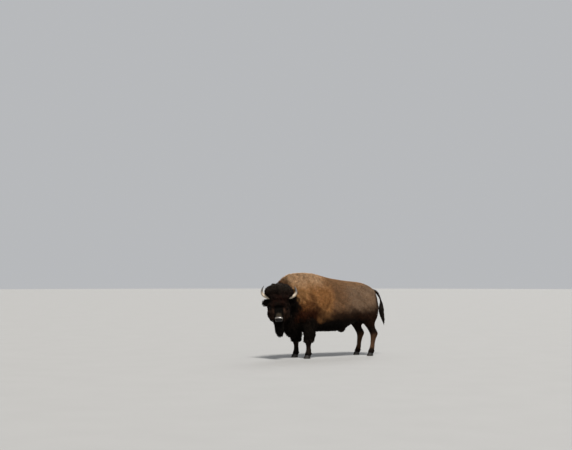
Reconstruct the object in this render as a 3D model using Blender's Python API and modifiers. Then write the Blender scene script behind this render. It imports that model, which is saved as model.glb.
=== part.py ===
"""A mature bison bull, life size, standing square with its head turned to its left.

Metres, +Z up. The animal faces -Y, its left flank is towards +X and its hooves stand on z = 0.
The solids follow the outline of the coat, out to its tips. The body is modelled as one form and then
parted with thin cuts into the pieces that a person would name.
"""

import math
from collections import namedtuple

import bmesh
import bpy
import numpy as np
from mathutils import Matrix, Vector

# ---------------------------------------------------------------- driving dimensions
GAP = 0.0003                   # clearance between touching pieces
SOCKET_GAP = 0.0006            # clearance round the horns, ears and eyes in their sockets
VOXEL = 0.014                  # grain at which the overlapping forms are fused
FINE_SMOOTHING = 8             # smoothing passes over the whole fused body
BROAD_SMOOTHING = 45           # further passes over the trunk, which blend its muscles
MOP_BLEND = 0.35               # share of those passes that the hair between the horns gets
FLESH_TRIANGLES = 3450         # budget for the fused body before it is parted
RING_POINTS = 40               # points round a body section
LEG_POINTS = 20                # points round a leg section
HORN_SIDES = 2                 # bevel steps of the horns
EYE_SEGMENTS = 12
EAR_POINTS = 10                # points round an ear
CLAW_POINTS = 12               # points round a hoof claw

HUMP_HEIGHT = 1.79             # top of the hump, coat included
BELLY_HEIGHT = 0.555           # clearance under the belly hair
HIP_HEIGHT = 1.575             # top of the loins
RUMP_END = 1.81                # rearmost point of the buttocks, from the line of the fore hooves

HEAD_YAW = 60.0                # turn of the head to the animal's left, degrees
HEAD_PITCH = 52.0              # slope of the face below the horizontal, degrees
HEAD_CENTRE = Vector((0.265, -0.720, 1.258))   # midway between the horn bases
EYE_RADIUS = 0.0225
EYE_PLACE = (0.167, 0.205, -0.040)             # left eye in head axes: aside, down the face, out
HORN_BASE_RADIUS = 0.036

# ---------------------------------------------------------------- body sections
# Sections across the spine from the tail forward to the back of the head. x is a sideways shift and
# turn the section's swing to the left in degrees; crown and keel are the roundness of the upper and
# lower halves, where 2 is an ellipse and less is more pointed.
Section = namedtuple("Section", "y x turn top bottom widest half_width crown keel")
BODY = (
    Section(RUMP_END, 0, 0, 1.24, 1.06, 1.15, 0.09, 2.0, 2.0),
    Section(1.785, 0, 0, 1.350, 0.94, 1.14, 0.175, 2.0, 2.0),
    Section(1.70, 0, 0, 1.455, 0.86, 1.13, 0.240, 2.1, 2.1),
    Section(1.56, 0, 0, 1.528, 0.80, 1.12, 0.290, 2.2, 2.1),
    Section(1.38, 0, 0, HIP_HEIGHT, 0.745, 1.12, 0.318, 2.2, 2.1),
    Section(1.16, 0, 0, 1.598, 0.665, 1.08, 0.350, 2.05, 2.1),
    Section(0.90, 0, 0, 1.628, BELLY_HEIGHT + 0.015, 1.03, 0.392, 1.95, 2.15),
    Section(0.62, 0, 0, 1.673, BELLY_HEIGHT - 0.005, 1.02, 0.402, 1.8, 2.2),
    Section(0.38, 0, 0, 1.732, BELLY_HEIGHT, 1.04, 0.396, 1.65, 2.2),
    Section(0.18, 0, 0, 1.776, BELLY_HEIGHT - 0.005, 1.06, 0.388, 1.55, 2.1),
    Section(0.00, 0, 0, HUMP_HEIGHT, 0.545, 1.08, 0.376, 1.5, 2.0),
    Section(-0.18, 0, 2, 1.783, 0.545, 1.10, 0.346, 1.5, 1.9),
    Section(-0.36, 0.008, 8, 1.757, 0.585, 1.12, 0.296, 1.55, 1.8),
    Section(-0.48, 0.030, 17, 1.695, 0.655, 1.12, 0.262, 1.65, 1.8),
    Section(-0.57, 0.068, 29, 1.610, 0.735, 1.12, 0.240, 1.8, 1.9),
    Section(-0.65, 0.128, 42, 1.520, 0.800, 1.13, 0.222, 2.0, 2.0),
    Section(-0.71, 0.205, 52, 1.430, 0.880, 1.13, 0.180, 2.0, 2.0),
)

# Rounded masses that lie over those sections: centre, half sizes, tilt about X, tilt about Z (degrees).
Mass = namedtuple("Mass", "x y z across along tall pitch yaw")
SIDE_MASSES = (
    Mass(0.225, 0.080, 1.030, 0.188, 0.270, 0.370, -14, 0),     # shoulder and upper arm
    Mass(0.180, -0.120, 1.060, 0.178, 0.190, 0.300, -20, 4),    # point of the shoulder
    Mass(0.145, 1.340, 1.400, 0.130, 0.170, 0.130, 0, 0),       # hip bone
    Mass(0.180, 1.480, 1.130, 0.162, 0.270, 0.330, 12, 0),      # haunch
    Mass(0.180, 1.580, 0.920, 0.135, 0.190, 0.270, -6, 0),      # buttock and thigh
    Mass(0.200, 1.340, 0.900, 0.118, 0.180, 0.220, 24, 0),      # stifle
)
MIDDLE_MASSES = (
    Mass(0, -0.330, 0.760, 0.235, 0.190, 0.270, 22, 0),         # brisket
    Mass(0, -0.290, 0.610, 0.165, 0.150, 0.190, 30, 0),         # hair hanging from the brisket
    Mass(0, 1.690, 1.385, 0.075, 0.120, 0.070, -30, 0),         # root of the tail
    Mass(0, 0.955, 0.590, 0.050, 0.090, 0.090, 14, 0),          # sheath and its tuft
)

# ---------------------------------------------------------------- legs
# Sections down a leg: x is measured outwards from the spine, y from the leg's own line.
LegSection = namedtuple("LegSection", "x y z half_x half_y")
FORELEG = (
    LegSection(0.250, 0.060, 1.120, 0.110, 0.180),
    LegSection(0.262, 0.055, 0.900, 0.135, 0.205),
    LegSection(0.255, 0.050, 0.740, 0.128, 0.180),
    LegSection(0.243, 0.010, 0.600, 0.118, 0.140),
    LegSection(0.236, 0.010, 0.490, 0.113, 0.142),
    LegSection(0.230, 0.004, 0.410, 0.104, 0.124),
    LegSection(0.223, -0.004, 0.350, 0.079, 0.086),
    LegSection(0.219, -0.004, 0.295, 0.055, 0.060),
    LegSection(0.216, 0.002, 0.215, 0.047, 0.052),
    LegSection(0.216, 0.004, 0.160, 0.055, 0.062),
    LegSection(0.216, -0.006, 0.115, 0.057, 0.061),
    LegSection(0.217, -0.022, 0.072, 0.061, 0.064),
    LegSection(0.218, -0.036, 0.030, 0.066, 0.072),
)
HINDLEG = (
    LegSection(0.200, 0.000, 1.100, 0.120, 0.200),
    LegSection(0.215, -0.060, 0.900, 0.130, 0.215),
    LegSection(0.218, -0.092, 0.780, 0.122, 0.165),
    LegSection(0.215, -0.058, 0.680, 0.100, 0.126),
    LegSection(0.212, -0.004, 0.590, 0.082, 0.094),
    LegSection(0.210, 0.052, 0.510, 0.071, 0.099),
    LegSection(0.209, 0.070, 0.450, 0.064, 0.092),
    LegSection(0.209, 0.052, 0.380, 0.054, 0.066),
    LegSection(0.209, 0.038, 0.300, 0.048, 0.056),
    LegSection(0.209, 0.026, 0.220, 0.047, 0.053),
    LegSection(0.209, 0.014, 0.155, 0.055, 0.062),
    LegSection(0.210, -0.006, 0.110, 0.056, 0.060),
    LegSection(0.210, -0.024, 0.070, 0.059, 0.062),
    LegSection(0.211, -0.038, 0.030, 0.063, 0.070),
)
Leg = namedtuple("Leg", "name sections side y cut_height hoof_scale")
LEGS = (
    Leg("foreleg_left", FORELEG, 1, 0.013, 0.375, 1.0),
    Leg("foreleg_right", FORELEG, -1, -0.030, 0.375, 1.0),
    Leg("hindleg_left", HINDLEG, 1, 1.590, 0.420, 0.92),
    Leg("hindleg_right", HINDLEG, -1, 1.520, 0.420, 0.92),
)

# ---------------------------------------------------------------- hooves
HOOF_SLOPE = 14.0              # tilt of the line where hair meets hoof, degrees
HOOF_HEIGHT = 0.066            # height of that line over the middle of the hoof
# Rings up a hoof claw: height, size against the sole, and how far back it leans.
CLAW_RINGS = ((0.000, 0.97, 0.000), (0.006, 1.00, 0.001), (0.040, 0.94, 0.014), (0.095, 0.80, 0.036))
CLAW_LENGTH = 0.130
CLAW_WIDTH = 0.064
CLAW_SPLIT = 0.009             # gap between the two claws of a foot
CLAW_AHEAD = 0.012             # the hoof's middle lies this far ahead of the leg's
CLAW_ROUND = 2.3               # roundness of its outline, as for the body sections
CLAW_TOE = 0.42                # how much the claw narrows to its toe
DEWCLAW_APART = 0.026          # sideways from the middle of the foot
DEWCLAW_BACK = 0.062           # behind the middle of the foot
DEWCLAW_HEIGHT = 0.128         # of its root over the floor
DEWCLAW_REACH = (0.25, 0.0315, -0.0315)        # its tip from its root: share of apart, back and up
DEWCLAW_RADIUS = 0.016
DEWCLAW_TAPER = ((0.0, 1.0), (0.55, 0.92), (1.0, 0.45))   # place along it and share of the radius
DEWCLAW_POINTS = 8

# ---------------------------------------------------------------- head, in its own axes
# down runs from the horns to the nose; front and back are the bridge of the face and the jaw.
HeadSection = namedtuple("HeadSection", "down front back widest half_width round")
SKULL = (
    HeadSection(-0.150, 0.000, -0.150, -0.080, 0.090, 2.0),
    HeadSection(-0.110, 0.055, -0.210, -0.090, 0.165, 2.1),
    HeadSection(0.000, 0.080, -0.260, -0.090, 0.195, 2.2),
    HeadSection(0.110, 0.070, -0.270, -0.080, 0.192, 2.3),
    HeadSection(0.200, 0.048, -0.265, -0.075, 0.178, 2.3),
    HeadSection(0.275, 0.026, -0.250, -0.090, 0.150, 2.3),
    HeadSection(0.340, 0.008, -0.228, -0.100, 0.118, 2.3),
    HeadSection(0.398, -0.008, -0.206, -0.105, 0.102, 2.3),
    HeadSection(0.447, -0.022, -0.190, -0.104, 0.100, 2.4),
    HeadSection(0.483, -0.042, -0.172, -0.104, 0.086, 2.3),
    HeadSection(0.503, -0.072, -0.136, -0.104, 0.050, 2.0),
)
# Rounded masses of hair and bone, in the same axes: aside, down, out, and their half sizes.
HeadMass = namedtuple("HeadMass", "aside down out half_aside half_down half_out")
HEAD_MASSES = (
    HeadMass(0, 0.020, 0.040, 0.200, 0.215, 0.110),             # curls of the forehead
    HeadMass(0.128, 0.190, -0.030, 0.055, 0.065, 0.062),        # left brow
    HeadMass(-0.128, 0.190, -0.030, 0.055, 0.065, 0.062),       # right brow
    HeadMass(0.056, 0.455, -0.084, 0.044, 0.052, 0.044),        # left wing of the nose
    HeadMass(-0.056, 0.455, -0.084, 0.044, 0.052, 0.044),       # right wing of the nose
    HeadMass(0, 0.424, -0.172, 0.064, 0.058, 0.034),            # chin
)
# The same kind of mass, but upright: aside, towards the viewer and up from the head's centre.
UprightMass = namedtuple("UprightMass", "aside ahead up half_aside half_ahead half_up")
RUFF_MASSES = (
    UprightMass(0, -0.030, 0.125, 0.285, 0.205, 0.170),         # mop of hair between the horns
    UprightMass(0, 0.010, 0.015, 0.226, 0.162, 0.175),          # hair from the mop down to the face
    UprightMass(0.145, -0.040, 0.100, 0.145, 0.150, 0.125),     # its left lobe
    UprightMass(-0.145, -0.040, 0.100, 0.145, 0.150, 0.125),    # its right lobe
    UprightMass(0, -0.080, -0.300, 0.235, 0.170, 0.225),        # jowls and throat
    UprightMass(0.120, -0.010, -0.170, 0.115, 0.120, 0.150),    # left cheek
    UprightMass(-0.120, -0.010, -0.170, 0.115, 0.120, 0.150),   # right cheek
)
# The beard hangs straight down from chin and throat: height over the floor and half sizes.
BeardSection = namedtuple("BeardSection", "z aside ahead half_aside half_ahead")
BEARD = (
    BeardSection(0.840, 0.000, 0.020, 0.105, 0.130),
    BeardSection(0.740, 0.004, 0.045, 0.104, 0.120),
    BeardSection(0.660, 0.010, 0.055, 0.099, 0.100),
    BeardSection(0.590, 0.018, 0.055, 0.092, 0.085),
    BeardSection(0.530, 0.024, 0.050, 0.080, 0.068),
    BeardSection(0.490, 0.028, 0.045, 0.054, 0.048),
    BeardSection(0.466, 0.030, 0.042, 0.020, 0.018),
)
# Left horn and ear, as upright points: aside, towards the viewer and up from the head's centre.
HORN_LINE = ((0.120, -0.030, 0.004), (0.200, -0.028, 0.016), (0.268, -0.024, 0.034), (0.326, -0.022, 0.070),
             (0.352, -0.026, 0.128), (0.342, -0.034, 0.192), (0.313, -0.044, 0.252))
HORN_TAPER = (1.0, 1.0, 0.97, 0.87, 0.68, 0.44, 0.13)
EAR_LINE = ((0.165, -0.065, -0.086), (0.206, -0.078, -0.086), (0.252, -0.090, -0.088),
            (0.298, -0.100, -0.093), (0.328, -0.107, -0.098))
EAR_WIDTHS = (0.032, 0.054, 0.066, 0.052, 0.014)
EAR_THICKNESS = 0.019          # at the ear's widest
EAR_EDGE = 0.4                 # share of that thickness left where the ear narrows to nothing
EAR_CUP = 0.25                 # how far the ear's edges curl forward, as a share of its width

# ---------------------------------------------------------------- tail
TailSection = namedtuple("TailSection", "x y z radius")
TAIL = (
    TailSection(0.000, 1.660, 1.395, 0.046),
    TailSection(0.000, 1.785, 1.400, 0.038),
    TailSection(0.008, 1.880, 1.335, 0.030),
    TailSection(0.022, 1.937, 1.240, 0.025),
    TailSection(0.040, 1.966, 1.130, 0.024),
    TailSection(0.052, 1.972, 1.050, 0.036),
    TailSection(0.062, 1.970, 0.960, 0.054),
    TailSection(0.070, 1.976, 0.870, 0.050),
    TailSection(0.080, 1.996, 0.770, 0.033),
    TailSection(0.086, 2.014, 0.680, 0.009),
)

# ---------------------------------------------------------------- where the body is parted
TAIL_CUTS = (1.290, 1.075)     # heights where the tail is parted; below the second is its tuft
TAIL_BEHIND = 1.86             # the hanging tail lies wholly behind this
TAIL_ROOT = Vector((0.0, 1.800, 1.392))        # middle of the tail where it leaves the rump
TAIL_ROOT_TILT = -34.0         # slope of the tail there, degrees
TAIL_ROOT_BLOCK = ((-0.07, 0.0, -0.065), (0.08, 0.30, 0.10))   # corners of the block round the root
BEARD_TOP = 0.715              # height where the beard is parted from the jaw
BEARD_BLOCK = ((-0.20, -0.16), (0.20, 0.40))   # corners of the block round it: aside and ahead
NECK_PIVOT = Vector((0.150, -0.635, 0.0))      # a point under the cut between head and neck
NECK_CUT_TURN = 40.0           # turn of that cut to the animal's left, degrees
NECK_START = -0.34             # the neck lies ahead of this
REAR_START = 0.56              # the rear trunk lies behind this
LEG_REACH = (0.04, 0.60)       # a leg's lower part lies between these distances from the spine
LEG_CLEAR = 0.30               # and within this distance of the leg's own line
FOOT_CLEAR = (0.14, 0.16)      # half sizes of the block that trims a foot's hair
# Regions that part the upper legs from the trunk.
FAR = 3.0                      # beyond the animal on every side
REGION_OUT = 0.330             # middle of each region, outwards from the spine
REGION_POINTS = 14
REGION_STEPS = 3
FORE_REGION = (0.265, 0.225, 0.040, 0.640, 0.960)   # half sizes, lean, start and top of the dome
HIND_REGION = (0.290, 0.290, -0.060, 0.760, 1.220)

# ---------------------------------------------------------------- materials
Finish = namedtuple("Finish", "colour roughness")
FINISHES = {
    "fur_brown": Finish((0.17, 0.10, 0.055), 0.9),
    "fur_dark": Finish((0.018, 0.011, 0.008), 0.9),
    "horn": Finish((0.42, 0.36, 0.27), 0.45),
    "hoof": Finish((0.03, 0.026, 0.022), 0.5),
    "eye": Finish((0.02, 0.01, 0.006), 0.08),
}

MODEL = bpy.data.collections.new("bison")
CUTTERS = bpy.data.collections.new("cutters")


# ---------------------------------------------------------------- scene and object helpers
def clear_scene():
    for thing in list(bpy.data.objects):
        bpy.data.objects.remove(thing, do_unlink=True)
    for group in (MODEL, CUTTERS):
        bpy.context.scene.collection.children.link(group)


def add_object(name, mesh, group=CUTTERS):
    thing = bpy.data.objects.new(name, mesh)
    group.objects.link(thing)
    if group is CUTTERS:
        thing.hide_render = True
        thing.display_type = "WIRE"
    return thing


def mesh_of(name, form):
    """A mesh made from closed forms, with every face turned outwards."""
    form.normal_update()
    bmesh.ops.recalc_face_normals(form, faces=form.faces)
    mesh = bpy.data.meshes.new(name)
    form.to_mesh(mesh)
    form.free()
    return mesh


def evaluated(thing):
    """A plain mesh of an object as its modifiers leave it, in world space."""
    bpy.context.view_layer.update()
    view = thing.evaluated_get(bpy.context.evaluated_depsgraph_get())
    mesh = bpy.data.meshes.new_from_object(view)
    mesh.transform(thing.matrix_world)
    return mesh


def replace_mesh(thing, mesh):
    thing.modifiers.clear()
    thing.data = mesh
    thing.matrix_world = Matrix.Identity(4)


def drop(*things):
    for thing in things:
        bpy.data.objects.remove(thing, do_unlink=True)


def finish_node(thing, finish):
    """Move an object to the model and give it its own material and smooth shading."""
    look = FINISHES[finish]
    material = bpy.data.materials.new(thing.name + "_" + finish)
    material.use_nodes = True
    shader = material.node_tree.nodes["Principled BSDF"]
    shader.inputs["Base Color"].default_value = (*look.colour, 1.0)
    shader.inputs["Roughness"].default_value = look.roughness
    shader.inputs["Metallic"].default_value = 0.0
    thing.data.materials.clear()
    thing.data.materials.append(material)
    thing.data.shade_smooth()
    thing.data.set_sharp_from_angle(angle=math.radians(50))
    for group in list(thing.users_collection):
        group.objects.unlink(thing)
    MODEL.objects.link(thing)
    thing.hide_render = False
    thing.display_type = "TEXTURED"


# ---------------------------------------------------------------- shape helpers
def through_sections(sections, steps):
    """A smooth curve through a table of sections, with a number of steps between each pair."""
    table = np.array([tuple(row) for row in sections], dtype=float)
    padded = np.vstack([2 * table[0] - table[1], table, 2 * table[-1] - table[-2]])
    rows = []
    for i in range(1, len(padded) - 2):
        before, here, there, after = padded[i - 1:i + 3]
        for k in range(steps):
            t = k / steps
            slope = there - before
            bend = 2 * before - 5 * here + 4 * there - after
            twist = 3 * here - before - 3 * there + after
            rows.append(0.5 * (2 * here + slope * t + bend * t ** 2 + twist * t ** 3))
    rows.append(table[-1])
    return rows


def superellipse(angle, roundness):
    """Cosine and sine bent into a rounder or a more pointed outline."""
    power = 2.0 / roundness
    across, up = math.cos(angle), math.sin(angle)
    return math.copysign(abs(across) ** power, across), math.copysign(abs(up) ** power, up)


def loft(name, rings):
    """A closed skin over rings with equal numbers of points, its ends closed to a middle point."""
    form = bmesh.new()
    rows = [[form.verts.new(point) for point in ring] for ring in rings]
    count = len(rings[0])
    for low, high in zip(rows, rows[1:]):
        for i in range(count):
            j = (i + 1) % count
            form.faces.new((low[i], low[j], high[j], high[i]))
    for row in (rows[0], rows[-1]):
        middle = form.verts.new(sum((v.co for v in row), Vector()) / count)
        for i in range(count):
            form.faces.new((row[i], row[(i + 1) % count], middle))
    return add_object(name, mesh_of(name, form))


def ellipsoid(name, frame, half_sizes, segments=32):
    form = bmesh.new()
    bmesh.ops.create_uvsphere(form, u_segments=segments, v_segments=segments // 2, radius=1.0)
    form.transform(frame @ Matrix.Diagonal((*half_sizes, 1.0)))
    return add_object(name, mesh_of(name, form))


def block(name, low, high, frame=None):
    """A box between two corners, placed by a frame."""
    form = bmesh.new()
    bmesh.ops.create_cube(form, size=1.0)
    size = [b - a for a, b in zip(low, high)]
    middle = [(a + b) / 2 for a, b in zip(low, high)]
    form.transform(Matrix.Translation(middle) @ Matrix.Diagonal((*size, 1.0)))
    if frame is not None:
        form.transform(frame)
    return add_object(name, mesh_of(name, form))


def grown(thing, distance):
    """A copy of a closed object with its surface moved outwards."""
    copy = add_object(thing.name + "_grown", thing.data.copy())
    push = copy.modifiers.new("grow", "DISPLACE")
    push.mid_level = 0.0
    push.strength = distance
    replace_mesh(copy, evaluated(copy))
    return copy


def boolean(thing, cutter, operation):
    step = thing.modifiers.new(operation.lower(), "BOOLEAN")
    step.operation = operation
    step.object = cutter
    step.solver = "EXACT"
    replace_mesh(thing, evaluated(thing))
    return thing


def keep_largest(thing):
    """Delete crumbs that a cut may leave, and keep the largest closed body."""
    form = bmesh.new()
    form.from_mesh(thing.data)
    bmesh.ops.remove_doubles(form, verts=form.verts, dist=1e-6)
    bmesh.ops.dissolve_degenerate(form, edges=form.edges, dist=1e-5)
    left = set(form.verts)
    bodies = []
    while left:
        stack = [left.pop()]
        body = set(stack)
        while stack:
            for edge in stack.pop().link_edges:
                for vertex in edge.verts:
                    if vertex in left:
                        left.discard(vertex)
                        body.add(vertex)
                        stack.append(vertex)
        bodies.append(body)
    bodies.sort(key=len)
    crumbs = [vertex for body in bodies[:-1] for vertex in body]
    bmesh.ops.delete(form, geom=crumbs, context="VERTS")
    form.to_mesh(thing.data)
    form.free()
    return thing


def carve(body, region, name):
    """Take the part of a body inside a region as a new object, and leave a thin gap round it."""
    piece = add_object(name, body.data.copy())
    boolean(piece, region, "INTERSECT")
    wider = grown(region, GAP)
    boolean(body, wider, "DIFFERENCE")
    keep_largest(piece)
    drop(region, wider)
    return piece


# ---------------------------------------------------------------- frames of the head
def upright_frame():
    """Axes at the head's centre: aside to the animal's left, ahead out of its face, and up."""
    yaw = math.radians(HEAD_YAW)
    ahead = Vector((math.sin(yaw), -math.cos(yaw), 0.0))
    aside = Vector((math.cos(yaw), math.sin(yaw), 0.0))
    axes = Matrix((aside, ahead, Vector((0, 0, 1)))).transposed().to_4x4()
    return Matrix.Translation(HEAD_CENTRE) @ axes


def head_frame():
    """Axes at the same point: aside, down the face, and out of the forehead."""
    pitch = math.radians(HEAD_PITCH)
    down = Vector((0.0, math.cos(pitch), -math.sin(pitch)))
    out = Vector((0.0, math.sin(pitch), math.cos(pitch)))
    axes = Matrix((Vector((1, 0, 0)), down, out)).transposed().to_4x4()
    return upright_frame() @ axes


# ---------------------------------------------------------------- forms of the body
def body_forms():
    rings = []
    for row in through_sections(BODY, 3):
        section = Section(*row)
        turn = math.radians(section.turn)
        aside = Vector((math.cos(turn), math.sin(turn), 0.0))
        middle = Vector((section.x, section.y, section.widest))
        ring = []
        for k in range(RING_POINTS):
            angle = 2 * math.pi * k / RING_POINTS
            upper = math.sin(angle) >= 0
            across, up = superellipse(angle, section.crown if upper else section.keel)
            reach = section.top - section.widest if upper else section.widest - section.bottom
            ring.append(middle + aside * (across * section.half_width) + Vector((0, 0, up * reach)))
        rings.append(ring)
    forms = [loft("body", rings)]
    for mass in SIDE_MASSES:
        for side in (1, -1):
            forms.append(mass_form(mass, side))
    forms += [mass_form(mass, 1) for mass in MIDDLE_MASSES]
    return forms


def mass_form(mass, side):
    place = Matrix.Translation((mass.x * side, mass.y, mass.z))
    turn = Matrix.Rotation(math.radians(mass.yaw * side), 4, "Z")
    tilt = Matrix.Rotation(math.radians(mass.pitch), 4, "X")
    return ellipsoid("mass", place @ turn @ tilt, (mass.across, mass.along, mass.tall))


def leg_form(leg):
    rings = []
    for row in through_sections(leg.sections, 3):
        section = LegSection(*row)
        middle = Vector((section.x * leg.side, leg.y + section.y, section.z))
        ring = []
        for k in range(LEG_POINTS):
            angle = 2 * math.pi * k / LEG_POINTS
            offset = Vector((math.cos(angle) * section.half_x, math.sin(angle) * section.half_y, 0))
            ring.append(middle + offset)
        rings.append(ring)
    return loft(leg.name, rings)


def head_forms():
    frame = head_frame()
    upright = upright_frame()
    rings = []
    for row in through_sections(SKULL, 3):
        section = HeadSection(*row)
        ring = []
        for k in range(RING_POINTS):
            across, out = superellipse(2 * math.pi * k / RING_POINTS, section.round)
            reach = section.front - section.widest if out >= 0 else section.widest - section.back
            place = (across * section.half_width, section.down, section.widest + out * reach)
            ring.append(frame @ Vector(place))
        rings.append(ring)
    forms = [loft("skull", rings)]
    for mass in HEAD_MASSES:
        place = frame @ Matrix.Translation((mass.aside, mass.down, mass.out))
        forms.append(ellipsoid("head_mass", place, (mass.half_aside, mass.half_down, mass.half_out)))
    for mass in RUFF_MASSES:
        place = upright @ Matrix.Translation((mass.aside, mass.ahead, mass.up))
        forms.append(ellipsoid("ruff", place, (mass.half_aside, mass.half_ahead, mass.half_up)))
    forms.append(beard_form(upright))
    return forms


def beard_form(upright):
    rings = []
    for row in through_sections(BEARD, 4):
        section = BeardSection(*row)
        ring = []
        for k in range(LEG_POINTS):
            angle = 2 * math.pi * k / LEG_POINTS
            aside = section.aside + math.cos(angle) * section.half_aside
            ahead = section.ahead + math.sin(angle) * section.half_ahead
            ring.append(upright @ Vector((aside, ahead, section.z - HEAD_CENTRE.z)))
        rings.append(ring)
    return loft("beard_form", rings)


def tail_form():
    rows = [TailSection(*row) for row in through_sections(TAIL, 4)]
    points = [Vector(row[:3]) for row in rows]
    rings = []
    for i, row in enumerate(rows):
        along = (points[min(i + 1, len(points) - 1)] - points[max(i - 1, 0)]).normalized()
        aside = Vector((1, 0, 0))
        back = along.cross(aside).normalized()
        ring = []
        for k in range(LEG_POINTS):
            angle = 2 * math.pi * k / LEG_POINTS
            ring.append(points[i] + (aside * math.cos(angle) + back * math.sin(angle)) * row.radius)
        rings.append(ring)
    return loft("tail_form", rings)


def ear_form(side):
    """A leaf-shaped ear: flat oval sections along its line, cupped a little towards the front."""
    upright = upright_frame()
    line = through_sections([(*point, width) for point, width in zip(EAR_LINE, EAR_WIDTHS)], 2)
    rings = []
    for aside, ahead, up, width in line:
        thickness = EAR_THICKNESS * (EAR_EDGE + (1.0 - EAR_EDGE) * width / max(EAR_WIDTHS))
        ring = []
        for k in range(EAR_POINTS):
            angle = 2 * math.pi * k / EAR_POINTS
            rise = math.sin(angle)
            cup = EAR_CUP * width * rise * rise
            place = (aside * side, ahead + math.cos(angle) * thickness + cup, up + rise * width)
            ring.append(upright @ Vector(place))
        rings.append(ring)
    return loft("ear_form", rings)


# ---------------------------------------------------------------- fusing
def ramp(value, low, high):
    return min(1.0, max(0.0, (value - low) / (high - low)))


def broad_weight(place):
    """1 on the broad masses of the trunk, less on the mop of the head, 0 on the face, legs and tail."""
    trunk = ramp(place.z, 0.52, 0.80) * ramp(place.y, -0.55, -0.30) * ramp(-place.y, -1.86, -1.78)
    mop = MOP_BLEND * ramp(place.z, HEAD_CENTRE.z - 0.10, HEAD_CENTRE.z + 0.05) * ramp(-place.y, 0.30, 0.45)
    return max(trunk, mop)


def fuse(forms):
    """Melt overlapping closed forms into one smooth body and thin its mesh to the budget."""
    joined = bmesh.new()
    for thing in forms:
        joined.from_mesh(thing.data)
    body = add_object("flesh", mesh_of("flesh", joined))
    drop(*forms)
    melt = body.modifiers.new("melt", "REMESH")
    melt.mode = "VOXEL"
    melt.voxel_size = VOXEL
    replace_mesh(body, evaluated(body))
    broad = body.vertex_groups.new(name="broad")
    for vertex in body.data.vertices:
        broad.add([vertex.index], broad_weight(vertex.co), "REPLACE")
    for name, passes, group in (("blend", BROAD_SMOOTHING, "broad"), ("soften", FINE_SMOOTHING, "")):
        soften = body.modifiers.new(name, "SMOOTH")
        soften.factor = 0.5
        soften.iterations = passes
        soften.vertex_group = group
    replace_mesh(body, evaluated(body))
    body.vertex_groups.clear()
    thin = body.modifiers.new("thin", "DECIMATE")
    thin.decimate_type = "COLLAPSE"
    thin.use_collapse_triangulate = True
    triangles = sum(len(face.vertices) - 2 for face in body.data.polygons)
    thin.ratio = FLESH_TRIANGLES / triangles
    replace_mesh(body, evaluated(body))
    return keep_largest(body)


# ---------------------------------------------------------------- hard pieces
def horn(side, name):
    upright = upright_frame()
    curve = bpy.data.curves.new(name, "CURVE")
    curve.dimensions = "3D"
    curve.bevel_depth = HORN_BASE_RADIUS
    curve.bevel_resolution = HORN_SIDES
    curve.use_fill_caps = True
    rows = through_sections([(*point, taper) for point, taper in zip(HORN_LINE, HORN_TAPER)], 2)
    spline = curve.splines.new("POLY")
    spline.points.add(len(rows) - 1)
    for point, (aside, ahead, up, taper) in zip(spline.points, rows):
        place = upright @ Vector((aside * side, ahead, up))
        point.co = (*place, 1.0)
        point.radius = taper
    tube = add_object(name + "_tube", curve)
    mesh = evaluated(tube)
    drop(tube)
    form = bmesh.new()
    form.from_mesh(mesh)
    bmesh.ops.remove_doubles(form, verts=form.verts, dist=1e-5)
    return add_object(name, mesh_of(name, form))


def eye(side, name):
    aside, down, out = EYE_PLACE
    place = head_frame() @ Matrix.Translation((aside * side, down, out))
    return ellipsoid(name, place, (EYE_RADIUS,) * 3, segments=EYE_SEGMENTS)


def hoof_plane(middle):
    """Axes on the slanting line where hair meets hoof; the toe end is higher."""
    tilt = Matrix.Rotation(math.radians(-HOOF_SLOPE), 4, "X")
    return Matrix.Translation((middle.x, middle.y, HOOF_HEIGHT)) @ tilt


def hoof_middle(leg):
    foot = leg.sections[-1]
    return Vector((foot.x * leg.side, leg.y + foot.y, 0.0))


def claw(leg, outer, name):
    """One half of a cloven hoof: flat sole, straight inner wall, round outer wall, pointed toe."""
    middle = hoof_middle(leg)
    scale = leg.hoof_scale
    away = leg.side if outer else -leg.side
    rings = []
    for height, size, lean in CLAW_RINGS:
        ring = []
        for k in range(CLAW_POINTS):
            angle = 2 * math.pi * (k + 0.5) / CLAW_POINTS
            across, along = superellipse(angle, CLAW_ROUND)
            toe = max(0.0, along)
            bulge = CLAW_WIDTH * (0.5 + 0.5 * across) * (1.0 - CLAW_TOE * toe ** 2)
            x = middle.x + away * scale * (CLAW_SPLIT / 2 + bulge * size)
            y = middle.y - CLAW_AHEAD - scale * (along * CLAW_LENGTH / 2 * size - lean)
            ring.append(Vector((x, y, height * scale)))
        rings.append(ring)
    shell = loft(name, rings)
    above = block("above", (-0.2, -0.2, -GAP), (0.2, 0.2, 0.2), hoof_plane(middle))
    boolean(shell, above, "DIFFERENCE")
    drop(above)
    return keep_largest(shell)


def dewclaw(leg, outer, name):
    """A small blunt horn at the back of the fetlock, pointing down and back."""
    foot = hoof_middle(leg)
    away = (leg.side if outer else -leg.side) * DEWCLAW_APART
    root = Vector((foot.x + away, foot.y + DEWCLAW_BACK, DEWCLAW_HEIGHT))
    tip = root + Vector((away * DEWCLAW_REACH[0], *DEWCLAW_REACH[1:]))
    along = (tip - root).normalized()
    rings = []
    for part, radius in DEWCLAW_TAPER:
        middle = root.lerp(tip, part)
        across = along.cross(Vector((1, 0, 0))).normalized()
        beside = along.cross(across).normalized()
        ring = []
        for k in range(DEWCLAW_POINTS):
            angle = 2 * math.pi * k / DEWCLAW_POINTS
            radial = across * math.cos(angle) + beside * math.sin(angle)
            ring.append(middle + radial * DEWCLAW_RADIUS * radius)
        rings.append(ring)
    return loft(name, rings)


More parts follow.
